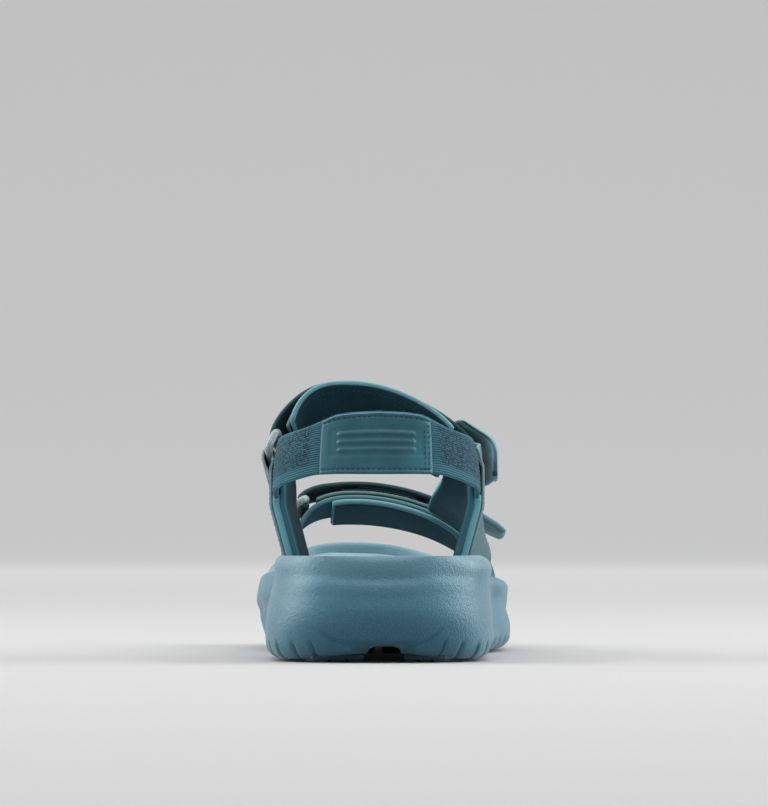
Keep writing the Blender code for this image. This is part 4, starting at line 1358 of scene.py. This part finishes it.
def backdrop():
    """Pale floor that curves up into a wall behind the object."""
    floor_end, radius, top, half = 6.0, 2.2, 6.0, 9.0
    profile = [(-4.0, 0.0), (-1.0, 0.0), (1.0, 0.0), (3.0, 0.0)]
    for i in range(25):
        turn = math.pi / 2 * i / 24
        profile.append((floor_end + radius * math.sin(turn), radius * (1 - math.cos(turn))))
    profile.append((floor_end + radius, top))
    points = [Vector((x, y, ORIGIN.z + z)) for y, z in profile for x in (-half, half)]
    faces = [(2 * i, 2 * i + 1, 2 * i + 3, 2 * i + 2) for i in range(len(profile) - 1)]
    mesh = bpy.data.meshes.new("studio_floor")
    mesh.from_pydata(points, [], faces)
    mesh.shade_smooth()
    paint = Paint("studio_paper", 0.9, specular=0.1)
    split = paint.node("SeparateXYZ", {0: paint.place.outputs["Object"]})
    grain = paint.between(paint.noise(900.0, 2.0), 0.3, 0.7, 0.0, 0.04)
    seen = paint.node("LightPath").outputs["Is Camera Ray"]
    near = paint.blend(seen, FLOOR_BOUNCE, FLOOR_SEEN)
    paint.set("Base Color", paint.blend(grain, near, (0.45, 0.45, 0.45)))
    glow = paint.between(split.outputs[1], -0.3, 4.0, 0.0, WALL_GLOW)
    paint.set("Emission Color", (1.0, 1.0, 1.0, 1.0))
    paint.set("Emission Strength", glow)
    mesh.materials.append(paint.made)
    made = bpy.data.objects.new("studio_floor", mesh)
    bpy.context.scene.collection.objects.link(made)
    made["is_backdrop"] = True


def area_light(name, spot, aim, size, power, colour=(1.0, 1.0, 1.0)):
    data = bpy.data.lights.new(name, "AREA")
    data.shape, data.size, data.size_y = "RECTANGLE", size[0], size[1]
    data.energy, data.color = power, colour
    made = bpy.data.objects.new(name, data)
    made.location = spot
    made.rotation_euler = (Vector(aim) - Vector(spot)).to_track_quat("-Z", "Y").to_euler()
    bpy.context.scene.collection.objects.link(made)


def studio():
    bpy.context.scene.view_settings.view_transform = "Standard"
    backdrop()
    area_light("top_softbox", (0.0, 0.9, 3.4), (0.0, 0.5, 0.0), (5.0, 5.0), 105.0)
    area_light("front_softbox", (0.0, -1.5, 1.6), (0.0, 0.0, 0.05), (1.2, 0.8), 9.0)
    area_light("left_softbox", (-1.5, 0.05, 0.7), (0.0, 0.0, 0.05), (1.0, 1.4), 23.0)
    area_light("right_softbox", (1.5, 0.05, 0.7), (0.0, 0.0, 0.05), (1.0, 1.4), 26.0)
    world = bpy.data.worlds.new("studio_world")
    world.use_nodes = True
    nodes, links = world.node_tree.nodes, world.node_tree.links
    split = nodes.new("ShaderNodeSeparateXYZ")
    links.new(nodes.new("ShaderNodeTexCoord").outputs["Generated"], split.inputs[0])
    level = nodes.new("ShaderNodeMapRange")
    level.interpolation_type = "SMOOTHSTEP"
    for key, value in (("From Min", -0.95), ("From Max", 0.2), ("To Min", 0.22), ("To Max", 0.42)):
        level.inputs[key].default_value = value
    links.new(split.outputs[1], level.inputs["Value"])
    links.new(level.outputs[0], nodes["Background"].inputs[1])
    nodes["Background"].inputs[0].default_value = (1.0, 1.0, 1.0, 1.0)
    bpy.context.scene.world = world
    data = bpy.data.cameras.new("camera")
    focal = CAMERA_BACK / (SCALE_AT_HEEL * MM)
    data.sensor_width = SENSOR
    data.lens = focal * SENSOR / max(IMAGE)
    data.clip_start, data.clip_end = 0.1, 60.0
    made = bpy.data.objects.new("camera", data)
    spot = to_model((CAMERA_X, 0.0, 0.0))
    made.location = (spot.x, spot.y - CAMERA_BACK, ORIGIN.z + CAMERA_HEIGHT)
    tilt = math.atan((HORIZON_ROW - IMAGE[1] / 2) / focal)
    made.rotation_euler = (math.pi / 2 + tilt, 0.0, 0.0)
    bpy.context.scene.collection.objects.link(made)
    bpy.context.scene.camera = made


# Assembly

def make_paints():
    return {
        # The foam's last colour is the painted shade low on the sole's sides.
        "foam": foam_paint("moulded_foam", (0.052, 0.19, 0.258), (0.19, 0.33, 0.39), (0.04, 0.164, 0.23),
                           0.42, 1.15, (0.004, 0.108, 0.178)),
        "bed": foam_paint("footbed_foam", (0.16, 0.33, 0.395), (0.3, 0.46, 0.51), (0.13, 0.285, 0.35),
                          0.55, 1.3),
        "rubber": rubber_paint("outsole_rubber", (0.022, 0.05, 0.066), (0.06, 0.11, 0.13)),
        "knit": knit_paint("ribbed_elastic"),
        "patch": leather_paint("patch_leather", (0.038, 0.17, 0.215), (0.07, 0.22, 0.27), 0.44, edge_highlight_amount=0.1),
        "thread": thread_paint("navy_thread", (0.01, 0.035, 0.055), (0.03, 0.09, 0.12)),
        "pale_thread": thread_paint("pale_thread", (0.09, 0.22, 0.27), (0.2, 0.36, 0.4)),
        "panel": woven_paint("panel_weave", (0.13, 0.22, 0.23), (0.075, 0.145, 0.155), 0.7,
                             (0.2, 0.33, 0.35)),
        "lining": lining_paint("lining_cloth", (0.01, 0.038, 0.052), (0.04, 0.12, 0.15),
                               (0.17, 0.36, 0.41)),
        "side_lining": lining_paint("side_lining_cloth", (0.01, 0.038, 0.052), (0.04, 0.12, 0.15),
                                    (0.05, 0.17, 0.215)),
        "under": lining_paint("under_strap_cloth", (0.022, 0.075, 0.098), (0.09, 0.22, 0.26),
                              (0.11, 0.24, 0.28)),
        "core": lining_paint("core_cloth", (0.11, 0.3, 0.35), (0.28, 0.48, 0.52), (0.22, 0.5, 0.56)),
        "webbing": woven_paint("webbing_weave", (0.055, 0.16, 0.185), (0.03, 0.1, 0.125), 0.8,
                               (0.16, 0.26, 0.26)),
        "flap": woven_paint("flap_weave", (0.034, 0.078, 0.088), (0.016, 0.042, 0.05), 0.8,
                            (0.045, 0.092, 0.098)),
        "keeper": woven_paint("keeper_weave", (0.2, 0.26, 0.26), (0.11, 0.16, 0.165), 0.7,
                              (0.3, 0.34, 0.32)),
        "loop": pile_paint("loop_pile", (0.012, 0.035, 0.045), (0.05, 0.12, 0.14)),
        "hook": pile_paint("hook_tape", (0.01, 0.03, 0.04), (0.04, 0.09, 0.11)),
        # The instep tab's last colour is the painted shade on its faces turned to the heel.
        "instep_tab": leather_paint("instep_tab_moulding", (0.19, 0.34, 0.39), (0.46, 0.6, 0.64), 0.38,
                                    0.7, 0.5, behind=(0.006, 0.04, 0.056)),
        "forefoot_tab": leather_paint("forefoot_tab_moulding", (0.095, 0.225, 0.28), (0.4, 0.52, 0.56),
                                      0.38, 0.7, 0.5),
        "ring": leather_paint("ring_plastic", (0.33, 0.41, 0.42), (0.6, 0.66, 0.66), 0.28, 0.4, 0.55),
    }


def build():
    paints = make_paints()
    midsole(paints["foam"])
    footbed(paints["bed"])
    outsole(paints["rubber"])
    heel_strap(paints)
    side_panel("medial", -1, MEDIAL_FRONT, medial_outer, medial_inner, paints)
    side_panel("lateral", 1, LATERAL_FRONT, lateral_outer, lateral_inner, paints)
    instep_strap(paints)
    forefoot_strap(paints)
    studio()


build()
boxes = {"cad": CAD_BOX, "visual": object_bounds()}
{name: [list(corner) for corner in box] for name, box in boxes.items()}
